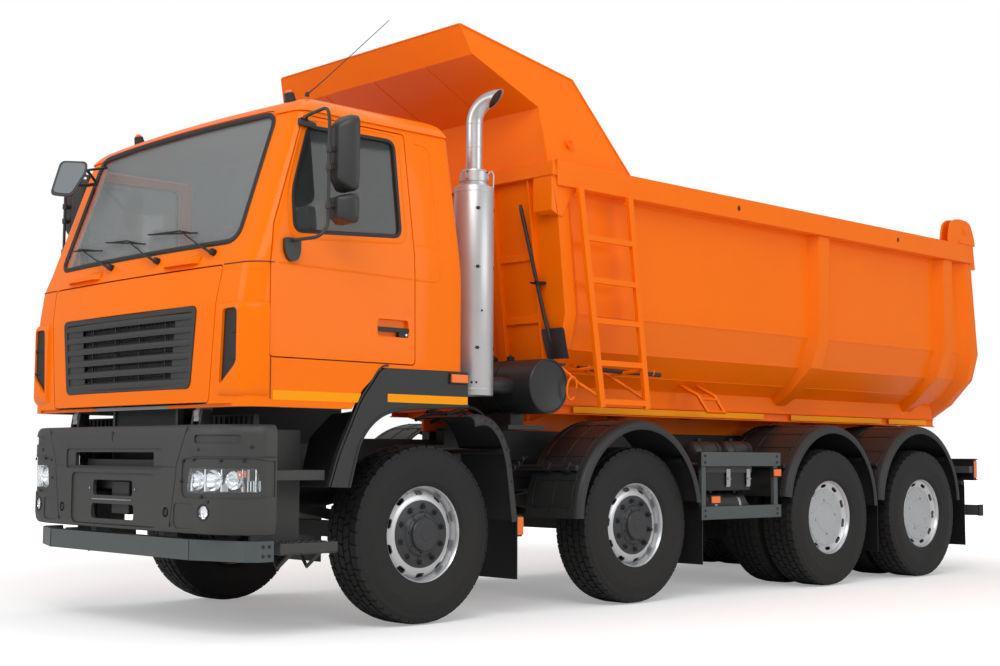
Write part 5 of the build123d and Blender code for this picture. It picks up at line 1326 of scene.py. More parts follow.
half_line_top = softened(HALF_GUARD, 0.05, 4)
skins, beads, nuts, tubes, flaps, ambers = new(), new(), new(), new(), new(), new()
for side, _ in SIDES:
    for middle_y, middle_z, radius, start, end, inner_x, flap_y in GUARDS:
        curved(skins, side, arc_stations(middle_y, middle_z, radius, start, end, 46), guard_section(inner_x))
        for x0, x1 in ((inner_x + 0.05, inner_x + 0.062), (inner_x + 0.24, inner_x + 0.252), (1.168, 1.180)):
            band = [(x0, -0.002), (x0 + 0.002, 0.0035), (x1 - 0.002, 0.0035), (x1, -0.002)]
            curved(beads, side, arc_stations(middle_y, middle_z, radius, start + 1, end - 1, 46), band)
        for k in range(11):
            angle = start + 7 + (end - start - 14) * k / 10
            rib = [(inner_x + 0.02, -0.002), (inner_x + 0.024, 0.004), (1.188, 0.004), (1.192, -0.002)]
            curved(beads, side, arc_stations(middle_y, middle_z, radius, angle - 0.7, angle + 0.7, 2), rib)
            a = math.radians(angle + 2.2)
            away = (0, math.cos(a), math.sin(a))
            for x in (1.150, inner_x + 0.20, inner_x + 0.08):
                spot = (side * x, middle_y + radius * away[1], middle_z + radius * away[2])
                disc(nuts, spot, away, 0.008, 0.006, 8, 0.002)
        for angle in (151, 38):
            a = math.radians(angle)
            out = radius + (0.022 if angle > 90 else -0.034)
            y, z = middle_y + out * math.cos(a), middle_z + out * math.sin(a)
            tube(tubes, [(side * 0.431, y, z), (side * 1.186, y, z)], 0.021, 14)
            if angle > 90:
                for x in (1.10, inner_x + 0.16):
                    tilted_block(tubes, (side * x, y, z), (0.052, 0.060, 0.054), (angle - 90, 0, 0))
                    for spread in (-0.016, 0.016):
                        disc(nuts, (side * (x + spread), y + 0.026 * math.cos(a), z + 0.026 * math.sin(a)),
                             (0, math.cos(a), math.sin(a)), 0.007, 0.009, 8)
        low, high = sorted((side * (inner_x + 0.06), side * 1.175))
        block(flaps, (low, high), (flap_y - 0.008, flap_y), (0.235, 0.800))
        for k in range(4):
            x = side * (inner_x + 0.12 + k * (1.115 - inner_x - 0.12) / 3)
            block(flaps, sorted((x, x + side * 0.012)), (flap_y - 0.0005, flap_y + 0.004), (0.26, 0.76))
        block(tubes, (low, high), (flap_y - 0.014, flap_y - 0.008), (0.765, 0.815))
        for k in range(5):
            disc(nuts, (low + (high - low) * (k + 0.5) / 5, flap_y, 0.79), (0, 1, 0), 0.009, 0.008, 8)
        tube(tubes, [(side * 0.431, flap_y - 0.024, 0.79), (side * 1.170, flap_y - 0.024, 0.79)], 0.018, 12)
    stations = line_stations(half_line_top)
    curved(skins, side, stations, [(x - 0.012, d) for x, d in guard_section(0.772)])
    curved(beads, side, stations, [(1.150, -0.002), (1.152, 0.0035), (1.160, 0.0035), (1.162, -0.002)])
    for y, z, ny, nz in stations[3::4]:
        disc(nuts, (side * 1.10, y, z), (0, ny, nz), 0.008, 0.006, 8, 0.002)
        disc(nuts, (side * 1.236, y - ny * 0.035, z - nz * 0.035), (side, 0, 0), 0.007, 0.004, 8)
    flank(flaps, side, (0.82, 1.215), (-1.982, -1.974), (0.235, 0.64))
    tube(tubes, [(side * 0.431, -2.075, 1.040), (side * 1.225, -2.075, 1.040)], 0.021, 12)
    flank(ambers, side, (1.072, 1.100), (-1.873, -1.806), (0.504, 0.618))
    flank(tubes, side, (1.062, 1.076), (-1.976, -1.795), (0.492, 0.628))
put("mudguard_skins", skins, "arch_black", "root", 0.0, angle=50, replaces=["mudguards"])
put("mudguard_beads", beads, "arch_black", "root")
put("mudguard_nuts", nuts, "rubber_black", "root")
put("mudguard_tubes", tubes, "frame_black", "root", 0.002)
put("mudguard_flaps", flaps, "rubber_black", "root", 0.0015)

# ---------------------------------------------------------------- side guards, battery box and air tank
RAIL_FACE = 0.4305
bars, screws, straps, box, tanks, lids = new(), new(), new(), new(), new(), new()
for side, _ in SIDES:
    for z0, z1 in ((0.943, 1.046), (0.557, 0.652)):
        outline = [(side * x, z) for x,
                   z in rounded([(1.190, z0), (1.220, z0), (1.220, z1), (1.190, z1)], 0.008, 3)]
        prism(bars, outline, "xz", -0.120, 0.852)
        for y in (-0.075, 0.805):
            for z in (z0 + 0.028, z1 - 0.028):
                disc(screws, (side * 1.220, y, z), (side, 0, 0), 0.010, 0.005, 12, 0.003)
        for y0, y1 in ((-0.124, -0.118), (0.850, 0.856)):
            flank(screws, side, (1.186, 1.2215), (y0, y1), (z0 - 0.002, z1 + 0.002))
    for y in (-0.100, 0.780):
        flank(bars, side, (1.178, 1.206), (y, y + 0.050), (0.600, 1.000))
        flank(tanks, side, (RAIL_FACE, 1.19), (y + 0.008, y + 0.046), (0.980, 1.028))
    flank(ambers, side, (1.206, 1.2215), (0.770, 0.858), (0.868, 0.918))
    flank(screws, side, (1.199, 1.2135), (0.762, 0.866), (0.860, 0.926))
    flank(ambers, side, (1.200, 1.214), (0.012, 0.110), (0.676, 0.724))
    flank(screws, side, (1.192, 1.206), (0.004, 0.118), (0.668, 0.732))
block(box, (0.562, 1.150), (0.022, 0.558), (0.762, 0.900))
block(lids, (0.555, 1.160), (0.012, 0.568), (0.894, 0.958))
for k in range(5):
    block(lids, (0.60 + 0.11 * k, 0.64 + 0.11 * k), (0.03, 0.55), (0.955, 0.964))
for y in (0.248, 0.493):
    block(straps, (1.158, 1.166), (y, y + 0.046), (0.800, 0.915))
    block(straps, (1.146, 1.162), (y, y + 0.046), (0.790, 0.802))
    block(straps, (1.10, 1.166), (y, y + 0.046), (0.915, 0.922))
    tube(straps, [(1.170, y + 0.006, 0.85), (1.170, y + 0.040, 0.85)], 0.008, 8)
lathe(tanks, [(0.0, 0.0001), (0.006, 0.045), (0.022, 0.080), (0.050, 0.099), (0.530, 0.099), (0.558, 0.080),
              (0.574, 0.045), (0.580, 0.0001)], (1.040, 0.0, 0.650), (0, 1, 0), 36)
for y in (0.14, 0.43):
    lathe(straps, [(0, 0.099), (0, 0.1025), (0.026, 0.1025), (0.026, 0.099)], (1.040, y, 0.650), (0, 1, 0),
          36)
    block(tanks, (0.99, 1.09), (y, y + 0.026), (0.745, 0.766))
tube(tanks, bend([(1.04, 0.56, 0.66), (1.06, 0.62, 0.68), (1.06, 0.70, 0.60), (0.90, 0.76, 0.55)], 0.04),
     0.011, 8)
for y, z in ((0.17, 1.045), (0.56, 1.050)):
    lathe(tanks,
          [(0.0, 0.0001), (0.004, 0.04), (0.020, 0.070), (0.045, 0.084), (0.315, 0.084), (0.340, 0.070),
                  (0.356, 0.04), (0.360, 0.0001)], (0.86, y, z), (0, 1, 0), 28)
    for step in (0.08, 0.27):
        lathe(screws, [(0, 0.084), (0, 0.088), (0.022, 0.088), (0.022, 0.084)], (0.86, y + step, z),
              (0, 1, 0), 28)
    block(screws, (0.800, 0.835), (y + 0.16, y + 0.20), (z + 0.078, z + 0.104))
block(tanks, (0.431, 0.92), (0.10, 0.96), (0.958, 0.972))
# square fuel tank on the far side
outline = rounded([(-1.150, 0.520), (-0.560, 0.520), (-0.560, 0.960), (-1.150, 0.960)], 0.06, 6)
prism(tanks, outline, "xz", -0.020, 0.600)
for y in (0.11, 0.42):
    band = rounded([(-1.154, 0.516), (-0.556, 0.516), (-0.556, 0.964), (-1.154, 0.964)], 0.062, 6)
    prism(screws, band, "xz", y, y + 0.045)
lathe(straps, [(0, 0.0001), (0, 0.045), (0.030, 0.045), (0.036, 0.038), (0.036, 0.0001)],
      (-0.98, 0.30, 0.955), (0, 0, 1))
for side in (-1, 1):
    flank(tanks, side, (RAIL_FACE, 0.565), (0.200, 0.380), (0.800, 0.940))
put("side_guard_bars", bars, "guard_grey", "root", 0.003, replaces=["side_guards"])
put("side_guard_screws", screws, "rubber_black", "root", 0.0015)
put("battery_box", box, "rubber_black", "root", 0.008, replaces=["chassis_tanks"])
put("battery_lid", lids, "bumper_black", "root", 0.006)
put("tank_straps", straps, "bright_steel", "root", 0.001)
put("air_tanks", tanks, "frame_black", "root", 0.002)

# ---------------------------------------------------------------- tail lamps
cases, reds, whites = new(), new(), new()
for side, _ in SIDES:
    flank(cases, side, (0.960, 1.200), (3.856, 3.912), (0.820, 1.000))
    for z0, z1 in ((0.812, 0.822), (0.998, 1.008)):
        block(cases, sorted((side * 0.950, side * 1.208)), (3.850, 3.925), (z0, z1))
    block(cases, sorted((side * 1.196, side * 1.206)), (3.852, 3.862), (0.815, 1.005))
    block(ambers, sorted((side * 1.199, side * 1.2065)), (3.866, 3.915), (0.835, 0.985))
    block(ambers, sorted((side * 1.130, side * 1.196)), (3.911, 3.924), (0.828, 0.992))
    block(reds, sorted((side * 1.030, side * 1.126)), (3.911, 3.924), (0.828, 0.992))
    block(whites, sorted((side * 0.966, side * 1.026)), (3.911, 3.922), (0.828, 0.992))
    for z in (0.515, 0.56):
        for x in (0.39, 0.32, 0.46):
            disc(cases, (side * x, 4.110, z), (0, 1, 0), 0.010, 0.005, 10)
    flank(cases, side, (1.146, 1.156), (4.036, 4.112), (0.486, 0.589))
put("tail_lamp_cases", cases, "rubber_black", "root", 0.004)
put("tail_lamp_reds", reds, "red_lens", "root", 0.004)
put("tail_lamp_whites", whites, "lamp_glass", "root", 0.004)

# ---------------------------------------------------------------- exhaust stack and silencer drum
stack, clamp, hole_shades, pipe = new(), new(), new(), new()
STACK = (1.000, -2.170)
lathe(stack,
      [(1.390, 0.090), (1.390, 0.1275), (1.394, 0.130), (2.724, 0.130), (2.730, 0.1275), (2.730, 0.0001),
              (2.715, 0.0001), (1.60, 0.09)], (*STACK, 0.0), (0, 0, 1), 56)
for z in (1.43, 2.695):
    lathe(stack, [(-0.004, 0.130), (-0.002, 0.1313), (0.002, 0.1313), (0.004, 0.130)], (*STACK, z),
          (0, 0, 1), 56)
lathe(clamp, [(2.726, 0.0001), (2.726, 0.098), (2.744, 0.098), (2.746, 0.086), (2.764, 0.086), (2.766, 0.092),
              (2.826, 0.090), (2.830, 0.084), (2.840, 0.082), (2.842, 0.0537), (2.842, 0.0001)], (*STACK, 0),
              (0, 0, 1), 48)
# Black dots on the clamp's blocks, and black slots and dots on the shield, mark their holes: painted shade
# inside them.
for a in (-70, 20, 110, 200):
    t = math.radians(a)
    tilted_block(clamp, (STACK[0] + 0.093 * math.cos(t), STACK[1] + 0.093 * math.sin(t), 2.796),
                 (0.016, 0.026, 0.040),
                 (0, 0, a))
    disc(hole_shades, (STACK[0] + 0.093 * math.cos(t), STACK[1] + 0.093 * math.sin(t), 2.815), (0, 0, 1), 0.006,
         0.012, 8)
for z in (2.58, 2.205, 1.69):
    for a in (-31, 42, 137, 222):
        t = math.radians(a)
        made = tilted_block(hole_shades, (STACK[0] + 0.1298 * math.cos(t), STACK[1] + 0.1298 * math.sin(t), z),
                            (0.003, 0.040, 0.020), (0, 0, a))
        bmesh.ops.bevel(hole_shades, geom=list({e for v in made for e in v.link_edges
                                          if abs(e.verts[0].co.z - e.verts[1].co.z) < 1e-6
                                          and (e.verts[0].co - e.verts[1].co).length < 0.01}),
                        offset=0.009, segments=4, affect="EDGES", clamp_overlap=True)
for z, a in ((1.925, -18), (1.47, -46), (1.47, -33)):
    t = math.radians(a)
    disc(hole_shades, (STACK[0] + 0.1292 * math.cos(t), STACK[1] + 0.1292 * math.sin(t), z),
         (math.cos(t), math.sin(t), 0), 0.0075,
         0.0025, 12)
OUTLET_TURN = math.radians(20)
ELBOW_RADIUS, ELBOW_START, OUTLET_LIP = 0.154, 3.150, 0.200


def on_elbow(along, z, aside=0.0):
    """Point in the upright plane that the exhaust's elbow bends in."""
    return (STACK[0] + along * math.cos(OUTLET_TURN) - aside * math.sin(OUTLET_TURN),
            STACK[1] + along * math.sin(OUTLET_TURN) + aside * math.cos(OUTLET_TURN), z)


route = [on_elbow(0.0, 2.80), on_elbow(0.0, 3.00)]
for k in range(13):
    a = math.pi / 2 * k / 12
    route.append(on_elbow(ELBOW_RADIUS * (1 - math.cos(a)), ELBOW_START + ELBOW_RADIUS * math.sin(a)))
route.append(on_elbow(OUTLET_LIP + 0.01, ELBOW_START + ELBOW_RADIUS))
tube(pipe, route, 0.0535, 40)
far_end = on_elbow(0.30, ELBOW_START + ELBOW_RADIUS)
hollow = tube(new(), route[6:] + [far_end], 0.0495, 40)
slash = new()
wedge = ((0.0968, 3.229), (0.2208, 3.384), (0.320, 3.384), (0.320, 3.229))
loft(slash, [[on_elbow(along, z, aside) for along, z in wedge] for aside in (-0.1, 0.1)])
pipe = carve(pipe, ("DIFFERENCE", hollow), ("DIFFERENCE", slash))
# Black lining inside the outlet, stopping short of its slanted mouth: painted shade inside the pipe.
recess = new()
loft(recess, [[on_elbow(along - 0.010, z, aside) for along, z in wedge] for aside in (-0.1, 0.1)])
outlet_shade = carve(tube(new(), route[7:], 0.0492, 40), ("DIFFERENCE", recess))
seam = new()
for z in (2.99, 3.145):
    lathe(seam, [(-0.004, 0.0535), (-0.002, 0.0552), (0.002, 0.0552), (0.004, 0.0535)], (*STACK, z),
          (0, 0, 1), 40)
tube(clamp,
     bend([(1.040, -2.112, 2.700), (1.042, -2.108, 2.790), (1.070, -2.090, 2.845), (1.088, -2.080, 2.820),
                  (1.086, -2.082, 2.70)], 0.03, 5), 0.0055, 8)
put("stack_shield", stack, "stack_steel", "root", 0.0, angle=40, replaces=["exhaust_stack"])
put("stack_clamp", clamp, "stack_steel", "root", 0.001, angle=40)
# Painted shade of the holes in the shield and clamp.
put("stack_hole_shades", hole_shades, "rubber_black", "root")
put("stack_pipe", pipe, "pipe_steel", "root", 0.0, angle=40)
put("stack_seams", seam, "pipe_steel", "root")
# Painted shade inside the outlet.
put("stack_outlet_shade", outlet_shade, "rubber_black", "root")
DRUM_AXIS = (-1.673, 1.465)
drum, bands = new(), new()
lathe(drum, [(-0.01, 0.0001), (-0.01, 0.054), (0.44, 0.054), (0.44, 0.0001)], (STACK[0], -2.120, 1.465),
      (0, 1, 0), 24)
lathe(drum, [(0.520, 0.0001), (0.520, 0.166), (0.530, 0.178), (0.560, 0.180), (1.180, 0.180), (1.194, 0.179),
             (1.200, 0.173), (1.198, 0.168), (1.190, 0.165), (1.187, 0.158), (1.189, 0.0001)],
             (0, *DRUM_AXIS), (1, 0, 0),
      64)
for x in (0.665, 0.825):
    lathe(bands, [(0, 0.179), (0, 0.184), (0.032, 0.184), (0.032, 0.179)], (x, *DRUM_AXIS), (1, 0, 0), 64)
    block(bands, (x + 0.002, x + 0.030), (-1.70, -1.655), (1.640, 1.672))
    disc(bands, (x + 0.016, -1.677, 1.668), (0, 0, 1), 0.010, 0.016, 10)
block(bands, (0.350, 1.050), (-1.900, -1.560), (1.182, 1.210))
block(bands, (0.560, 0.900), (-1.733, -1.613), (1.200, 1.300))
block(bands, (0.350, 0.430), (-1.900, -1.560), (1.0803, 1.190))
put("silencer_drum", drum, "frame_black", "root", 0.0, angle=35, replaces=["muffler_drum"])
put("silencer_bands", bands, "frame_black", "root", 0.003)

# ---------------------------------------------------------------- hoses and lines on the chassis
hoses, fittings = new(), new()
for k, (x, y0,
        lift) in enumerate(((0.62, -2.02, 0.02), (0.70, -1.99, 0.07), (0.78, -2.03, 0.0),
                            (0.86, -1.97, 0.05))):
    tube(hoses,
         bend([(x, y0 - 0.30, 1.22 + lift), (x, y0 - 0.05, 1.30 + lift), (x + 0.03, y0 + 0.17, 1.05 + lift),
                      (x + 0.01, y0 + 0.10, 0.84), (x - 0.06, y0 + 0.30, 0.80 + lift)], 0.14, 8),
                      0.013 - 0.002 * (k % 2), 10)
    lathe(fittings, [(0, 0.0001), (0, 0.018), (0.03, 0.018), (0.034, 0.012), (0.034, 0.0001)],
          (x - 0.06, y0 + 0.30, 0.80 + lift), (-0.3, 0.9, 0), 12)
for k in range(3):
    z = 0.86 + 0.055 * k
    tube(hoses, bend([(0.452, -1.80, z), (0.452, -0.40, z + 0.01), (0.456, 0.60, z - 0.01), (0.452, 2.00, z),
                      (0.452, 3.60, z + 0.01)], 0.3, 5), 0.008, 8)
for y in (-1.5, -0.9, 0.75, 1.0, 2.1, 3.3):
    block(fittings, (RAIL_FACE, 0.470), (y, y + 0.03), (0.845, 0.99))
coil = []
for k in range(120):
    a = k / 120 * math.tau * 9
    coil.append((0.95 + 0.018 * math.cos(a), -1.98 + 0.34 * k / 120,
                 1.02 + 0.018 * math.sin(a) - 0.10 * math.sin(math.pi * k / 120)))
tube(hoses, coil, 0.005, 6)
for x, y, z, r in ((0.50, -0.52, 0.95, 0.055), (0.50, 1.08, 0.93, 0.050), (0.50, 2.25, 0.93, 0.050)):
    lathe(fittings,
          [(0, 0.0001), (0, r), (0.06, r), (0.07, r * 0.8), (0.11, r * 0.8), (0.115, r * 0.4),
           (0.115, 0.0001)],
          (x, y, z), (1, 0, 0), 24)
    tube(hoses,
         bend([(x + 0.1, y, z), (x + 0.13, y + 0.02, z - 0.10), (x + 0.02, y + 0.2, z - 0.16)], 0.06, 5),
         0.009, 8)
put("chassis_hoses", hoses, "rubber_black", "root", angle=60)
put("chassis_fittings", fittings, "cast_grey", "root", 0.002)
put("root_reflectors", ambers, "amber_lens", "root", 0.003)

# ---------------------------------------------------------------- wheel arches with their stripe and marker
ARCH_OUT = [(-3.480, 0.828), (-3.420, 1.007), (-3.351, 1.149), (-3.267, 1.322), (-3.173, 1.440),
            (-3.119, 1.5155),
            (-2.440, 1.519)]
ARCH_IN = [(-2.440, 1.300), (-2.895, 1.277), (-3.113, 1.244), (-3.264, 1.105), (-3.340, 0.823)]
arches, lines, stripes, markers, marker_cases = new(), new(), new(), new(), new()
smooth_in = softened(ARCH_IN, 0.10, 6)
smooth_out = softened(ARCH_OUT, 0.05, 4)
liner = [(-2.440, 1.309), (-2.896, 1.286), (-3.118, 1.253), (-3.274, 1.111), (-3.350, 0.823)]
for side, _ in SIDES:
    low, high = sorted((side * 1.190, side * 1.2505))
    prism(arches, smooth_out + smooth_in, "yz", low, high)
    low, high = sorted((side * 0.762, side * 1.192))
    prism(arches, ARCH_IN + list(reversed(liner)), "yz", low, high)
    for line, pull, r in ((smooth_in, 0.012, 0.009), (smooth_out[:-1], -0.016, 0.006)):
        tube(lines, [(side * 1.2505, y, z) for y, z in drawn_in(line, -pull)], r, 8)
    flank(stripes, side, (1.2495, 1.2520), (-3.078, -2.446), (1.318, 1.366))
    flank(marker_cases, side, (1.2490, 1.2620), (-2.600, -2.452), (1.442, 1.508))
    flank(markers, side, (1.2580, 1.2740), (-2.592, -2.460), (1.450, 1.500))
put("arch_trim", arches, "arch_black", "cab", 0.008, 3, 40, replaces=["wheel_arches"])
put("arch_lines", lines, "arch_black", "cab")
put("arch_stripes", stripes, "stripe_yellow", "cab")
put("arch_marker_cases", marker_cases, "rubber_black", "cab", 0.003)
put("arch_markers", markers, "amber_lens", "cab", 0.005, 3)

# ---------------------------------------------------------------- bed frame
RAIL_LOW, RAIL_HIGH = 2.785, 2.950
GATE_PIN = (3.715, 3.075)
SKIN = [(1.140, 2.785), (1.140, 2.080), (1.135, 1.965), (1.042, 1.729), (0.893, 1.580), (0.713, 1.452),
        (0.560, 1.330)]
RIB = [(1.223, 2.785), (1.210, 1.954), (1.129, 1.726), (0.902, 1.507), (0.612, 1.332)]
ROOT_LINE = [(1.141, 2.785), (1.137, 1.968), (1.044, 1.732), (0.800, 1.512), (0.562, 1.332)]


def bed_front(z):
    """Outer face of the leaning front wall."""
    return -1.640 + 0.125 * (RAIL_LOW - z)


def bed_rear(z, back=0.0):
    """Rear face of the bed."""
    return 3.850 + 0.15 * (RAIL_LOW - z) + back


def rib_piece(bm, side, near, far, flank_near=0.0, flank_far=0.0):
    """Hat rib between two leaning faces; each flank slopes from its outer edge to the skin."""
    rings = []
    for (x0, z0), (x1, z1) in zip(RIB, ROOT_LINE):
        rings.append([(side * x0, near(z0), z0), (side * x0, far(z0), z0),
                      (side * (x1 - 0.004), far(z1) + flank_far, z1),
                      (side * (x1 - 0.004), near(z1) - flank_near, z1)])
    loft(bm, rings)


ribs, rails, seams, hole_shade_discs = new(), new(), new(), new()
for side, _ in SIDES:
    for y0, y1 in ((1.411, 1.555), (3.370, 3.514)):
        rib_piece(ribs, side, lambda z, y=y0: y, lambda z, y=y1: y, 0.055, 0.012)
    rib_piece(ribs, side, bed_front, lambda z: bed_front(z) + 0.105, 0.0, 0.115)
    rib_piece(ribs, side, lambda z: bed_rear(z, -0.095), bed_rear, 0.110, 0.0)
    low, high = sorted((side * 1.136, side * 1.250))
    rail = prism(new(),
                 [(bed_front(RAIL_LOW), RAIL_LOW), (bed_front(RAIL_HIGH), RAIL_HIGH),
                  (bed_rear(RAIL_HIGH), RAIL_HIGH), (bed_rear(RAIL_LOW), RAIL_LOW)], "yz", low, high)
    bores = [("DIFFERENCE",
              prism(new(), [(y + a, 2.870 + b) for a, b in circle(0.020, 24)], "yz", *sorted((side * 1.0,
              side * 1.4)))) for y in (0.320, 2.564)]
    part = carve(rail, *bores)
    # Black discs sunk in the rail's bores: painted shade inside the holes.
    for y in (0.320, 2.564):
        disc(hole_shade_discs, (side * 1.236, y, 2.870), (side, 0, 0), 0.0215, 0.004, 24)
    join(rails, part)
    tube(seams,
         [(side * 1.2505, bed_front(2.80) + 0.02, 2.792), (side * 1.2505, bed_rear(2.80) - 0.02, 2.792)],
         0.005, 6)
    tube(seams, [(side * 1.1385, bed_front(2.78) + 0.2, 2.7835), (side * 1.1385, 3.75, 2.7835)], 0.006, 6)
    for (x, z), r in zip(SKIN[2:], (0.0045, 0.004, 0.004, 0.004, 0.004)):
        tube(seams,
             [(side * (x + 0.0005), bed_front(z) + 0.01, z), (side * (x + 0.0005), bed_rear(z) - 0.01, z)],
             r, 6)
    # folded gusset under the rail's front corner
    gusset = [(-1.655, 2.790), (-1.640, 2.600), (-1.585, 2.585), (-1.470, 2.790)]
    prism(ribs, gusset, "yz", *sorted((side * 1.150, side * 1.232)))
    prism(ribs, [(-1.690, 2.86), (-1.690, 2.62), (-1.640, 2.60), (-1.640, 2.86)], "yz",
          *sorted((side * 1.06, side * 1.232)))
    # ear plates with the tailgate's pin
    ear = [(3.421, 2.945), (3.432, 3.020), (3.462, 3.120), (3.540, 3.165), (3.643, 3.175), (3.760, 3.168),
           (3.824, 3.140),
           (3.880, 3.030), (3.905, 2.945)]
    for x0, x1 in ((1.150, 1.168), (1.227, 1.245)):
        prism(ribs, rounded(ear, 0.03, 4), "yz", *sorted((side * x0, side * x1)))
    for x, r in ((1.245, 0.046), (1.2505, 0.030)):
        disc(seams, (side * x, *GATE_PIN), (side, 0, 0), r, 0.006, 28, 0.001)
    tube(seams, [(side * 1.148, *GATE_PIN), (side * 1.256, *GATE_PIN)], 0.020, 20)
    tube(seams, [(side * 1.2475, 3.60, 2.98), (side * 1.2475, 3.60, 2.955), (side * 1.2475, 3.84, 2.955)],
         0.005, 6)
    # long sills with the hinge eyes
    flank(ribs, side, (0.375, 0.405), (-1.380, 3.660), (1.188, 1.330))
    # angle along the floor's edge and its warning stripe
    block(ribs, sorted((side * 0.768, side * 0.776)), (-1.36, 3.90), (1.300, 1.496))
    block(ribs, sorted((side * 0.776, side * 0.800)), (-1.36, 3.90), (1.300, 1.308))
    block(ribs, sorted((side * 0.776, side * 0.7995)), (-1.36, 3.90), (1.362, 1.370))
    # stiffeners and folded edge on the front wall
    for x0, x1 in ((0.585, 0.655), (0.985, 1.0)):
        prism(ribs,
              [(bed_front(1.36) - 0.034, 1.36), (bed_front(2.85) - 0.034, 2.85),
               (bed_front(2.85) + 0.002, 2.85),
                     (bed_front(1.36) + 0.002, 1.36)], "yz", *sorted((side * x0, side * x1)))
    for k in range(3):
        z = 1.48 + 0.42 * k
        prism(ribs,
              [(bed_front(z) - 0.016, z), (bed_front(z) - 0.016, z + 0.05), (bed_front(z) + 0.002, z + 0.05),
                     (bed_front(z) + 0.002, z)], "yz", *sorted((side * 0.655, side * 0.985)))
    for cheek_x in (0.140, 0.265):
        low, high = sorted((side * cheek_x, side * (cheek_x + 0.025)))
        block(ribs, (low, high), (0.630, 0.770), (1.145, 1.330))
        tube(seams, [(low, 0.70, 1.19), (high, 0.70, 1.19)], 0.042, 18)
hinge_eyes = new()
for side, _ in SIDES:
    lathe(hinge_eyes, [(0.374, 0.0303), (0.374, 0.055), (0.406, 0.055), (0.406, 0.0303)], (0, 3.590, 1.150),
          (side, 0, 0), 28)
    block(hinge_eyes, sorted((side * 0.376, side * 0.404)), (3.54, 3.64), (1.192, 1.22))
for middle in (-1.200, -0.400, 1.480, 2.350, 3.300):
    block(ribs, (-0.560, 0.560), (middle - 0.040, middle + 0.040), (1.255, 1.330))
    for side in (-1, 1):
        prism(ribs,
              [(side * 0.560, 1.255), (side * 0.775, 1.300), (side * 0.775, 1.44), (side * 0.560, 1.33)],
              "xz",
              middle - 0.006, middle + 0.006)
block(ribs, (-0.405, 0.405), (0.630, 0.770), (1.300, 1.330))
prism(rails, [(bed_front(2.850), 2.850), (bed_front(2.850) - 0.050, 2.850), (bed_front(2.850) - 0.050, 2.950),
              (bed_front(2.950), 2.950)], "yz", -1.250, 1.250)
put("bed_ribs", ribs, "bed_orange", "bed", 0.004, 2, 22, replaces=["bed_frame"])
put("bed_rails", rails, "bed_orange", "bed", 0.006, 3, 40)
put("bed_welds", seams, "bed_orange", "bed")
# Painted shade in the rail's holes.
put("bed_rail_hole_shades", hole_shade_discs, "rubber_black", "bed")
put("bed_hinge_eyes", hinge_eyes, "bed_orange", "bed", 0.002)
stripes = new()
for side, _ in SIDES:
    for y0, y1 in ((-1.02, 1.22), (1.60, 2.98), (3.10, 3.74)):
        block(stripes, sorted((side * 0.7996, side * 0.8016)), (y0, y1), (1.314, 1.358))
put("bed_stripes", stripes, "stripe_yellow", "bed")

# brackets, ladder, spare pole and shovel
hooks, dark = new(), new()
for side, _ in SIDES:
    for y in (0.10, 0.30):
        tube(hooks,
             [(side * 0.850, y, 1.545), (side * 0.985, y + 0.04, 1.47), (side * 1.010, y + 0.13, 1.345)],
             0.016, 4)
    tube(hooks, [(side * 1.010, 0.215, 1.347), (side * 1.010, 0.445, 1.347)], 0.014, 4)
    tube(hooks, [(side * 0.992, 0.17, 1.44), (side * 0.992, 0.37, 1.44)], 0.012, 4)
LADDER = ((-1.478, 2.785, -1.262, 1.335), (-0.983, 2.785, -0.802, 1.335))


def rail_spot(k, z):
    """Point on a ladder stringer at a height."""
    top_y, top_z, low_y, low_z = LADDER[k]
    return (1.288, low_y + (top_y - low_y) * (z - low_z) / (top_z - low_z), z)


ladder = new()
for k in (0, 1):
    a, b = Vector(rail_spot(k, 2.785)), Vector(rail_spot(k, 1.335))
    along = (a - b).normalized()
    across = Vector((0, along.z, -along.y))
    corners = [Vector((u, 0, 0)) + across * v for u,
               v in ((-0.016, -0.025), (0.016, -0.025), (0.016, 0.025), (-0.016, 0.025))]
    loft(ladder, [[b + c for c in corners], [a + c for c in corners]])
    for z in (2.74, 1.60):
        spot = rail_spot(k, z)
        end_x = 1.249 if z > 2 else 0.955
        tube(ladder, [spot, (end_x, spot[1] - 0.01, z - (0.0 if z > 2 else 0.02))], 0.013, 8)
for z in (2.46, 2.18, 1.91, 1.63, 1.372):
    a, b = Vector(rail_spot(0, z)), Vector(rail_spot(1, z))
    corners = [(-0.015, -0.019), (0.015, -0.019), (0.017, 0.019), (-0.017, 0.019)]
    loft(ladder, [[p + Vector((u, 0, v)) for u, v in corners] for p in (a, b)])
tube(ladder, [(1.286, -1.275, 1.40), (0.935, -1.420, 1.640)], 0.014, 8)
tube(ladder, [(1.286, -0.815, 1.40), (0.935, -0.960, 1.640)], 0.014, 8)
ring = [(1.235 + 0.01 * math.sin(a), -1.500 + 0.045 * math.cos(a), 1.455 + 0.075 * math.sin(a))
        for a in [math.tau * k / 24 for k in range(22)]]
tube(ladder, ring, 0.008, 8)
tube(ladder, bend([(1.23, -1.49, 1.53), (1.16, -1.53, 1.60), (0.97, -1.50, 1.66)], 0.04), 0.010, 8)
tube(dark, [(1.095, -1.290, 1.604), (1.095, -0.430, 1.592)], 0.016, 12)
for y in (-1.20, -0.52):
    tube(hooks, bend([(0.93, y, 1.64), (1.10, y, 1.578), (1.118, y, 1.60), (1.112, y, 1.625)], 0.02, 4),
         0.006, 6)
put("ladder_bars", ladder, "bed_orange", "bed", 0.003, 2, 40, replaces=["bed_ladder"])
put("bed_hooks", hooks, "bed_orange", "bed", 0.001)


def on_wall(x, z, off):
    """Point in front of the leaning front wall."""
    return (x, bed_front(z) - off, z)


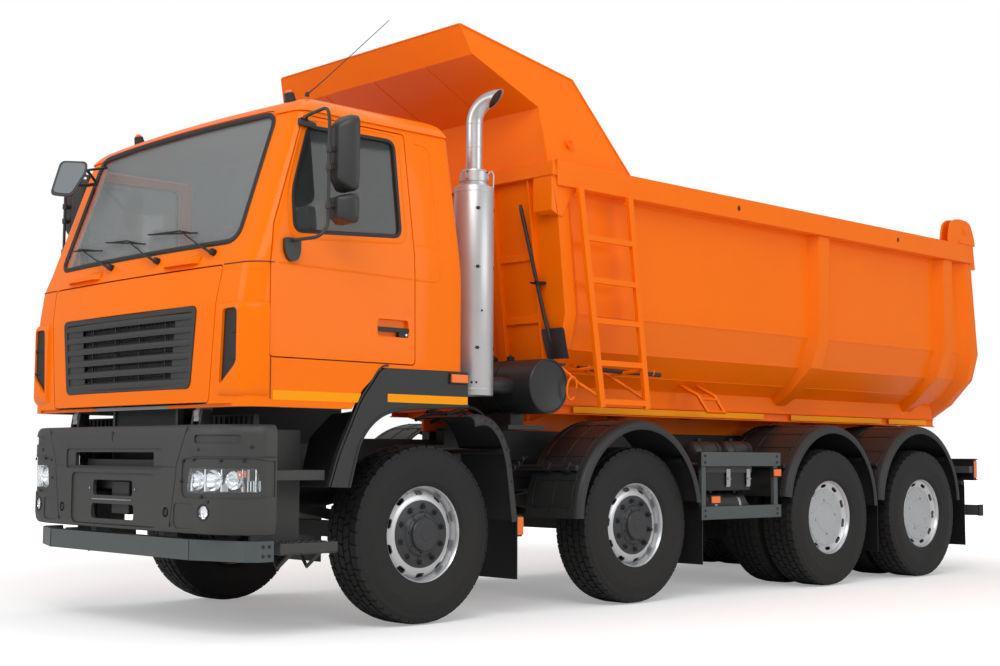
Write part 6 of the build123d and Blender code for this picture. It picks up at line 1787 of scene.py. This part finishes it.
tube(dark, [on_wall(0.928, 2.690, 0.05), on_wall(0.932, 2.660, 0.05), on_wall(1.02, 2.20, 0.055),
            on_wall(1.075, 1.90, 0.055)], [0.009, 0.0135, 0.013, 0.014], 14)
tube(dark, [on_wall(1.070, 1.93, 0.055), on_wall(1.098, 1.80, 0.048), on_wall(1.112, 1.72, 0.036)],
     [0.018, 0.016, 0.009], 12,
     flat=0.8)
blade = []
for z, x0, x1 in ((1.855, 1.010, 1.205), (1.835, 1.004, 1.215), (1.740, 1.022, 1.224), (1.650, 1.042, 1.236)):
    line = []
    for k in range(9):
        t = k / 8
        line.append(on_wall(x0 + (x1 - x0) * t, z,
                            0.030 + 0.022 * math.sin(math.pi * t) * (1.0 if z < 1.84 else 0.5)))
    blade.append(line + [(x, y + 0.004, z) for x, y, z in reversed(line)])
loft(dark, blade)
for z, x in ((2.16, 1.027), (1.615, 1.14)):
    block(dark, (x - 0.035, x + 0.035), (bed_front(z) - 0.045, bed_front(z)), (z - 0.008, z + 0.008))
    tube(dark, [on_wall(x - 0.03, z, 0.02), on_wall(x - 0.03, z, 0.085), on_wall(x + 0.03, z, 0.085),
                on_wall(x + 0.03, z, 0.02)], 0.006, 6)
put("shovel_and_pole", dark, "shovel_steel", "bed", 0.0008)

# ---------------------------------------------------------------- hood
hood, rims = new(), new()


def hood_side_x(z):
    """Outer face of the leaning side plates."""
    return 1.170 - 0.2275 * (z - 2.950)


for side, _ in SIDES:
    edge = [(side * (hood_side_x(z) + 0.002), y, z) for y,
            z in ((-0.826, 2.956), (-1.276, 3.597), (-2.284, 3.790),
                                                                 (-2.222, 3.603), (-1.668, 3.332),
                                                                 (-1.661, 2.956))]
    tube(rims, edge[:3], 0.007, 8)
    tube(rims, edge[2:], 0.006, 8)
    x = hood_side_x(3.108)
    disc(hood, (side * x, -1.434, 3.108), (side, 0, 0.22), 0.020, 0.016, 20)
    turns = [(side * (x + 0.024 - 0.003 * math.cos(a)), -1.434 + 0.027 * math.sin(a),
              3.108 + 0.027 * math.cos(a))
             for a in [math.tau * k / 24 for k in range(23)]]
    tube(hood, turns, 0.007, 8)
    tube(rims, [(side * 1.1675, -0.84, 2.9535), (side * 1.1675, -1.66, 2.9535)], 0.007, 6)
for x in (-0.55, 0.0, 0.55):
    a, b = (-1.672, 3.336), (-2.216, 3.606)
    loft(hood,
         [[(x - 0.02, a[0], a[1] - 0.018), (x + 0.02, a[0], a[1] - 0.018), (x + 0.02, a[0], a[1] + 0.002),
                 (x - 0.02, a[0], a[1] + 0.002)],
                 [(x - 0.02, b[0], b[1] - 0.018), (x + 0.02, b[0], b[1] - 0.018),
                                                  (x + 0.02, b[0], b[1] + 0.002),
                                                  (x - 0.02, b[0], b[1] + 0.002)]])
tube(rims, [(-hood_side_x(3.79) + 0.01, -2.2855, 3.7925), (hood_side_x(3.79) - 0.01, -2.2855, 3.7925)],
     0.006, 8)
tube(rims, [(-hood_side_x(3.6) + 0.01, -2.2195, 3.604), (hood_side_x(3.6) - 0.01, -2.2195, 3.604)], 0.005, 8)
put("hood_rings", hood, "bed_orange", "bed", 0.0015)
put("hood_rims", rims, "bed_orange", "bed")

# ---------------------------------------------------------------- tailgate
gate_ribs, catches = new(), new()


def lean_bar(bm, x0, x1, z0, z1, out, taper=0.02):
    """Hat bar on the tailgate's rear face."""
    rings = []
    for z, t in ((z0, 0.0), (z0 + taper, 1.0), (z1 - taper, 1.0), (z1, 0.0)):
        y = bed_rear(z, 0.087)
        rings.append([(x0, y, z), (x1, y, z), (x1 - 0.01 * t, y + out * t + 0.001, z),
                      (x0 + 0.01 * t, y + out * t + 0.001, z)])
    loft(bm, rings)


for z0, z1 in ((2.78, 2.89), (2.36, 2.47), (1.98, 2.09), (1.60, 1.71)):
    half = 1.115 if z0 > 1.9 else 0.86
    lean_bar(gate_ribs, -half, half, z0, z1, 0.045)
for x in (-0.98, -0.50, 0.0, 0.50, 0.98):
    low_z = 1.40 if abs(x) < 0.6 else 1.80
    lean_bar(gate_ribs, x - 0.055, x + 0.055, low_z, 2.78, 0.038, 0.03)
for side, _ in SIDES:
    x = side * 0.42
    block(catches, (x - 0.03, x + 0.03), (bed_rear(1.38, 0.08), bed_rear(1.38, 0.115)), (1.346, 1.43))
    tube(catches, [(x - 0.05, bed_rear(1.4, 0.12), 1.40), (x + 0.05, bed_rear(1.4, 0.12), 1.40)], 0.014, 12)
    disc(catches, (side * 1.2155, *GATE_PIN), (side, 0, 0), 0.034, 0.004, 24)
put("tailgate_ribs", gate_ribs, "bed_orange", "gate", 0.004)
put("tailgate_catches", catches, "frame_black", "gate", 0.002)

# ---------------------------------------------------------------- seats, each pad swollen by a cloth pass
PASS_FRAMES, PRESSURE, VOXEL = 20, 4.0, 0.010
SEAT_X = 0.76


def pillow(half_u, half_v, half_w, corner, pull):
    """Closed pad around the origin, w its thickness; its sides draw in between the corners."""
    flat = rounded([(-half_u, -half_v), (half_u, -half_v), (half_u, half_v), (-half_u, half_v)], corner, 5)
    outline = []
    for u, v in fine(flat, 0.03):
        near_u, near_v = (u / half_u) ** 2, (v / half_v) ** 2
        outline.append((u - math.copysign(pull, u) * near_u ** 2 * (1 - near_v),
                        v - math.copysign(pull, v) * near_v ** 2 * (1 - near_u)))
    rings = []
    for w, share in ((-1.0, 0.90), (-0.82, 0.97), (-0.5, 1.0), (0.5, 1.0), (0.82, 0.97), (1.0, 0.90),
                     (1.10, 0.62)):
        rings.append([(u * share, v * share, w * half_w) for u, v in outline])
    form = new()
    loft(form, rings)
    return form


def mesh_of(piece):
    """Mesh of a piece with its modifiers applied."""
    return bpy.data.meshes.new_from_object(piece.evaluated_get(bpy.context.evaluated_depsgraph_get()))


def stuffed(form, cap):
    """Form swollen by cloth under pressure; no point moves further than the cap."""
    pad = temp(form)
    skin_step = pad.modifiers.new("remesh", "REMESH")
    skin_step.mode = "VOXEL"
    skin_step.voxel_size = VOXEL
    even = mesh_of(pad)
    pad.modifiers.clear()
    pad.data = even
    start = [v.co.copy() for v in even.vertices]
    cloth = pad.modifiers.new("cloth", "CLOTH")
    cloth.settings.quality = 5
    cloth.settings.use_pressure = True
    cloth.settings.uniform_pressure_force = PRESSURE
    cloth.settings.effector_weights.gravity = 0
    cloth.point_cache.frame_start = 1
    cloth.point_cache.frame_end = PASS_FRAMES
    for step in range(1, PASS_FRAMES + 1):
        bpy.context.scene.frame_set(step)
    swollen = mesh_of(pad)
    pad.modifiers.clear()
    bpy.context.scene.frame_set(1)
    for vertex, before in zip(swollen.vertices, start):
        move = vertex.co - before
        if move.length > cap:
            vertex.co = before + move * (cap / move.length)
    pad.data = swollen
    finer = pad.modifiers.new("finer", "SUBSURF")
    finer.levels = 1
    out = new()
    out.from_mesh(mesh_of(pad))
    bpy.data.objects.remove(pad)
    return out


def sew(bm, channels, depth=0.007, width=0.008):
    """Sewn channels pressed into a pad's crowned side: axis, place and reach along the other axis."""
    bm.normal_update()
    for vertex in bm.verts:
        if vertex.normal.z < 0.2:
            continue
        for axis, place, low, high in channels:
            along = vertex.co[1 - axis]
            if low < along < high:
                vertex.co.z -= depth * math.exp(-((vertex.co[axis] - place) / width) ** 2)


def piping(pad, half_u, half_v, w, radius=0.004):
    """Sewn cord laid around a pad where it is widest."""
    tree = BVHTree.FromBMesh(pad)
    flat = rounded([(-half_u, -half_v), (half_u, -half_v), (half_u, half_v), (-half_u, half_v)], 0.05, 5)
    path = [tree.find_nearest(Vector((u * 1.1, v * 1.1, w)))[0] for u, v in fine(flat, 0.03)]
    return ring_tube(new(), path, radius, 6, 1.0, lambda p: (0, 0, 1))


LEAN = math.atan2(0.105, 0.79)
RECLINE = Matrix.Rotation(math.pi / 2 - LEAN, 4, "X")
PADS = {
    # name: half sizes, corner, pull, cap, channels, place, turn
    "cushion": ((0.236, 0.246, 0.052), 0.06, 0.008, 0.012,
                [(0, -0.135, -0.23, 0.20), (0, 0.135, -0.23, 0.20), (1, -0.10, -0.135, 0.135),
                 (1, 0.0, -0.135, 0.135),
                 (1, 0.10, -0.135, 0.135)], (0, -3.220, 1.846), Matrix.Rotation(math.radians(2), 4, "X")),
    "back": ((0.226, 0.262, 0.038), 0.07, 0.008, 0.010,
             [(0, -0.130, -0.25, 0.22), (0, 0.130, -0.25, 0.22), (1, -0.13, -0.13, 0.13),
              (1, 0.0, -0.13, 0.13),
              (1, 0.13, -0.13, 0.13)], (0, -2.922, 2.130), RECLINE),
    "headrest": ((0.130, 0.088, 0.032), 0.05, 0.005, 0.008, [(1, 0.045, -0.11, 0.11)], (0, -2.862, 2.520),
                 RECLINE),
}
bases, pans = new(), new()
for name, (halves, corner, pull, cap, channels, place, turn) in PADS.items():
    made = stuffed(pillow(*halves, corner, pull), cap)
    sew(made, channels)
    cord = piping(made, halves[0], halves[1], -0.2 * halves[2])
    for side, word in SIDES:
        spot = Matrix.Translation((side * SEAT_X, place[1], place[2])) @ turn
        for bm, look, tail in ((made, "seat_fabric", ""), (cord, "dash_dark", "_piping")):
            copy = bm.copy()
            copy.transform(spot)
            piece = put(f"{word}_seat_{name}{tail}", copy, look, "cab", angle=60,
                        replaces=["seats"] if name == "cushion" and not tail else ())
for side, _ in SIDES:
    middle = side * SEAT_X
    rings = []
    for k in range(15):
        z = 1.5465 + 0.2235 * k / 14
        half_x, half_y = (0.146, 0.186) if k % 2 else (0.132, 0.172)
        corners = rounded([(-half_x, -half_y), (half_x, -half_y), (half_x, half_y), (-half_x, half_y)],
                          0.035, 4)
        rings.append([(middle + u, -3.19 + v, z) for u, v in corners])
    loft(bases, rings)
    block(pans, (middle - 0.225, middle + 0.225), (-3.455, -2.985), (1.772, 1.793))
    block(pans, (middle - 0.235, middle + 0.235), (-2.900, -2.886), (1.87, 2.38))
    for x in (-0.05, 0.05):
        tube(pans, [(middle + x, -2.884, 2.34), (middle + x, -2.862, 2.50)], 0.007, 8)
    for x in (-0.240, 0.240):
        tube(pans,
             bend([(middle + x, -3.05, 1.80), (middle + x, -2.95, 1.85), (middle + x, -2.905, 2.06)], 0.05),
             0.012, 8)
put("seat_bellows", bases, "rubber_black", "cab", 0.003)
put("seat_frames", pans, "dash_dark", "cab", 0.003)

# ---------------------------------------------------------------- dashboard fittings, liner and door cards
hood_cover, dials, rims_in, vents, trims = new(), new(), new(), new(), new()
binnacle = [(-3.905, 2.158), (-3.690, 2.165), (-3.640, 2.215), (-3.700, 2.238), (-3.860, 2.225)]
prism(hood_cover, rounded(binnacle, 0.02, 4), "yz", 0.530, 0.990)
facing = Vector((0, 0.94, 0.34))
for x, r in ((0.66, 0.050), (0.86, 0.050), (0.76, 0.028)):
    disc(dials, (x, -3.640, 2.125), facing, r, 0.006, 28)
    lathe(rims_in, [(0.0, r), (0.0, r + 0.006), (0.010, r + 0.004), (0.010, r)], (x, -3.642, 2.124), facing,
          28)
for x in (-0.95, -0.45, 0.30, 0.42):
    block(vents, (x - 0.05, x + 0.05), (-3.640, -3.622), (2.055, 2.105))
    for k in range(4):
        block(vents, (x - 0.045, x + 0.045), (-3.624, -3.612), (2.062 + 0.011 * k, 2.066 + 0.011 * k))
block(hood_cover, (-0.20, 0.20), (-3.650, -3.615), (1.83, 2.06))
for row in range(3):
    for k in range(5):
        x, z = -0.14 + 0.07 * k, 1.87 + 0.06 * row
        block(vents, (x - 0.024, x + 0.024), (-3.617, -3.610), (z - 0.018, z + 0.018))
put("dash_binnacle", hood_cover, "dash_dark", "cab", 0.006, 3)
put("dash_dials", dials, "rubber_black", "cab", 0.001)
put("dash_dial_rims", rims_in, "bright_steel", "cab")
put("dash_vents", vents, "rubber_black", "cab", 0.002)
put("cab_liner", carve(layer(0.047, 0.052), *cuts), "trim_grey", "cab", angle=45)
for side, _ in SIDES:
    tube(trims, bend([(side * 1.155, -3.705, 2.83), (side * 1.120, -3.735, 2.80), (side * 1.135, -3.80, 2.52),
                      (side * 1.172, -3.825, 2.47)], 0.03, 4), 0.012, 8)
put("cab_grab_handles", trims, "rubber_black", "cab")
for side, word in SIDES:
    card, rest = new(), new()
    low, high = sorted((side * 1.112, side * 1.1235))
    prism(card,
          rounded([(-3.870, 1.575), (-3.870, 2.060), (-3.800, 2.215), (-2.925, 2.225), (-2.915, 1.575)],
                  0.03, 4), "yz",
          low, high)
    block(rest, sorted((side * 1.060, side * 1.114)), (-3.55, -3.05), (1.925, 1.975))
    block(rest, sorted((side * 1.080, side * 1.114)), (-3.72, -3.00), (1.600, 1.700))
    tube(rest, bend([(side * 1.105, -3.60, 2.12), (side * 1.075, -3.57, 2.12), (side * 1.075, -3.45, 2.12),
                     (side * 1.105, -3.42, 2.12)], 0.02, 4), 0.009, 8)
    put(f"{word}_door_card", card, "trim_grey", f"{word}_door", 0.003)
    put(f"{word}_door_armrest", rest, "dash_dark", f"{word}_door", 0.010, 3)
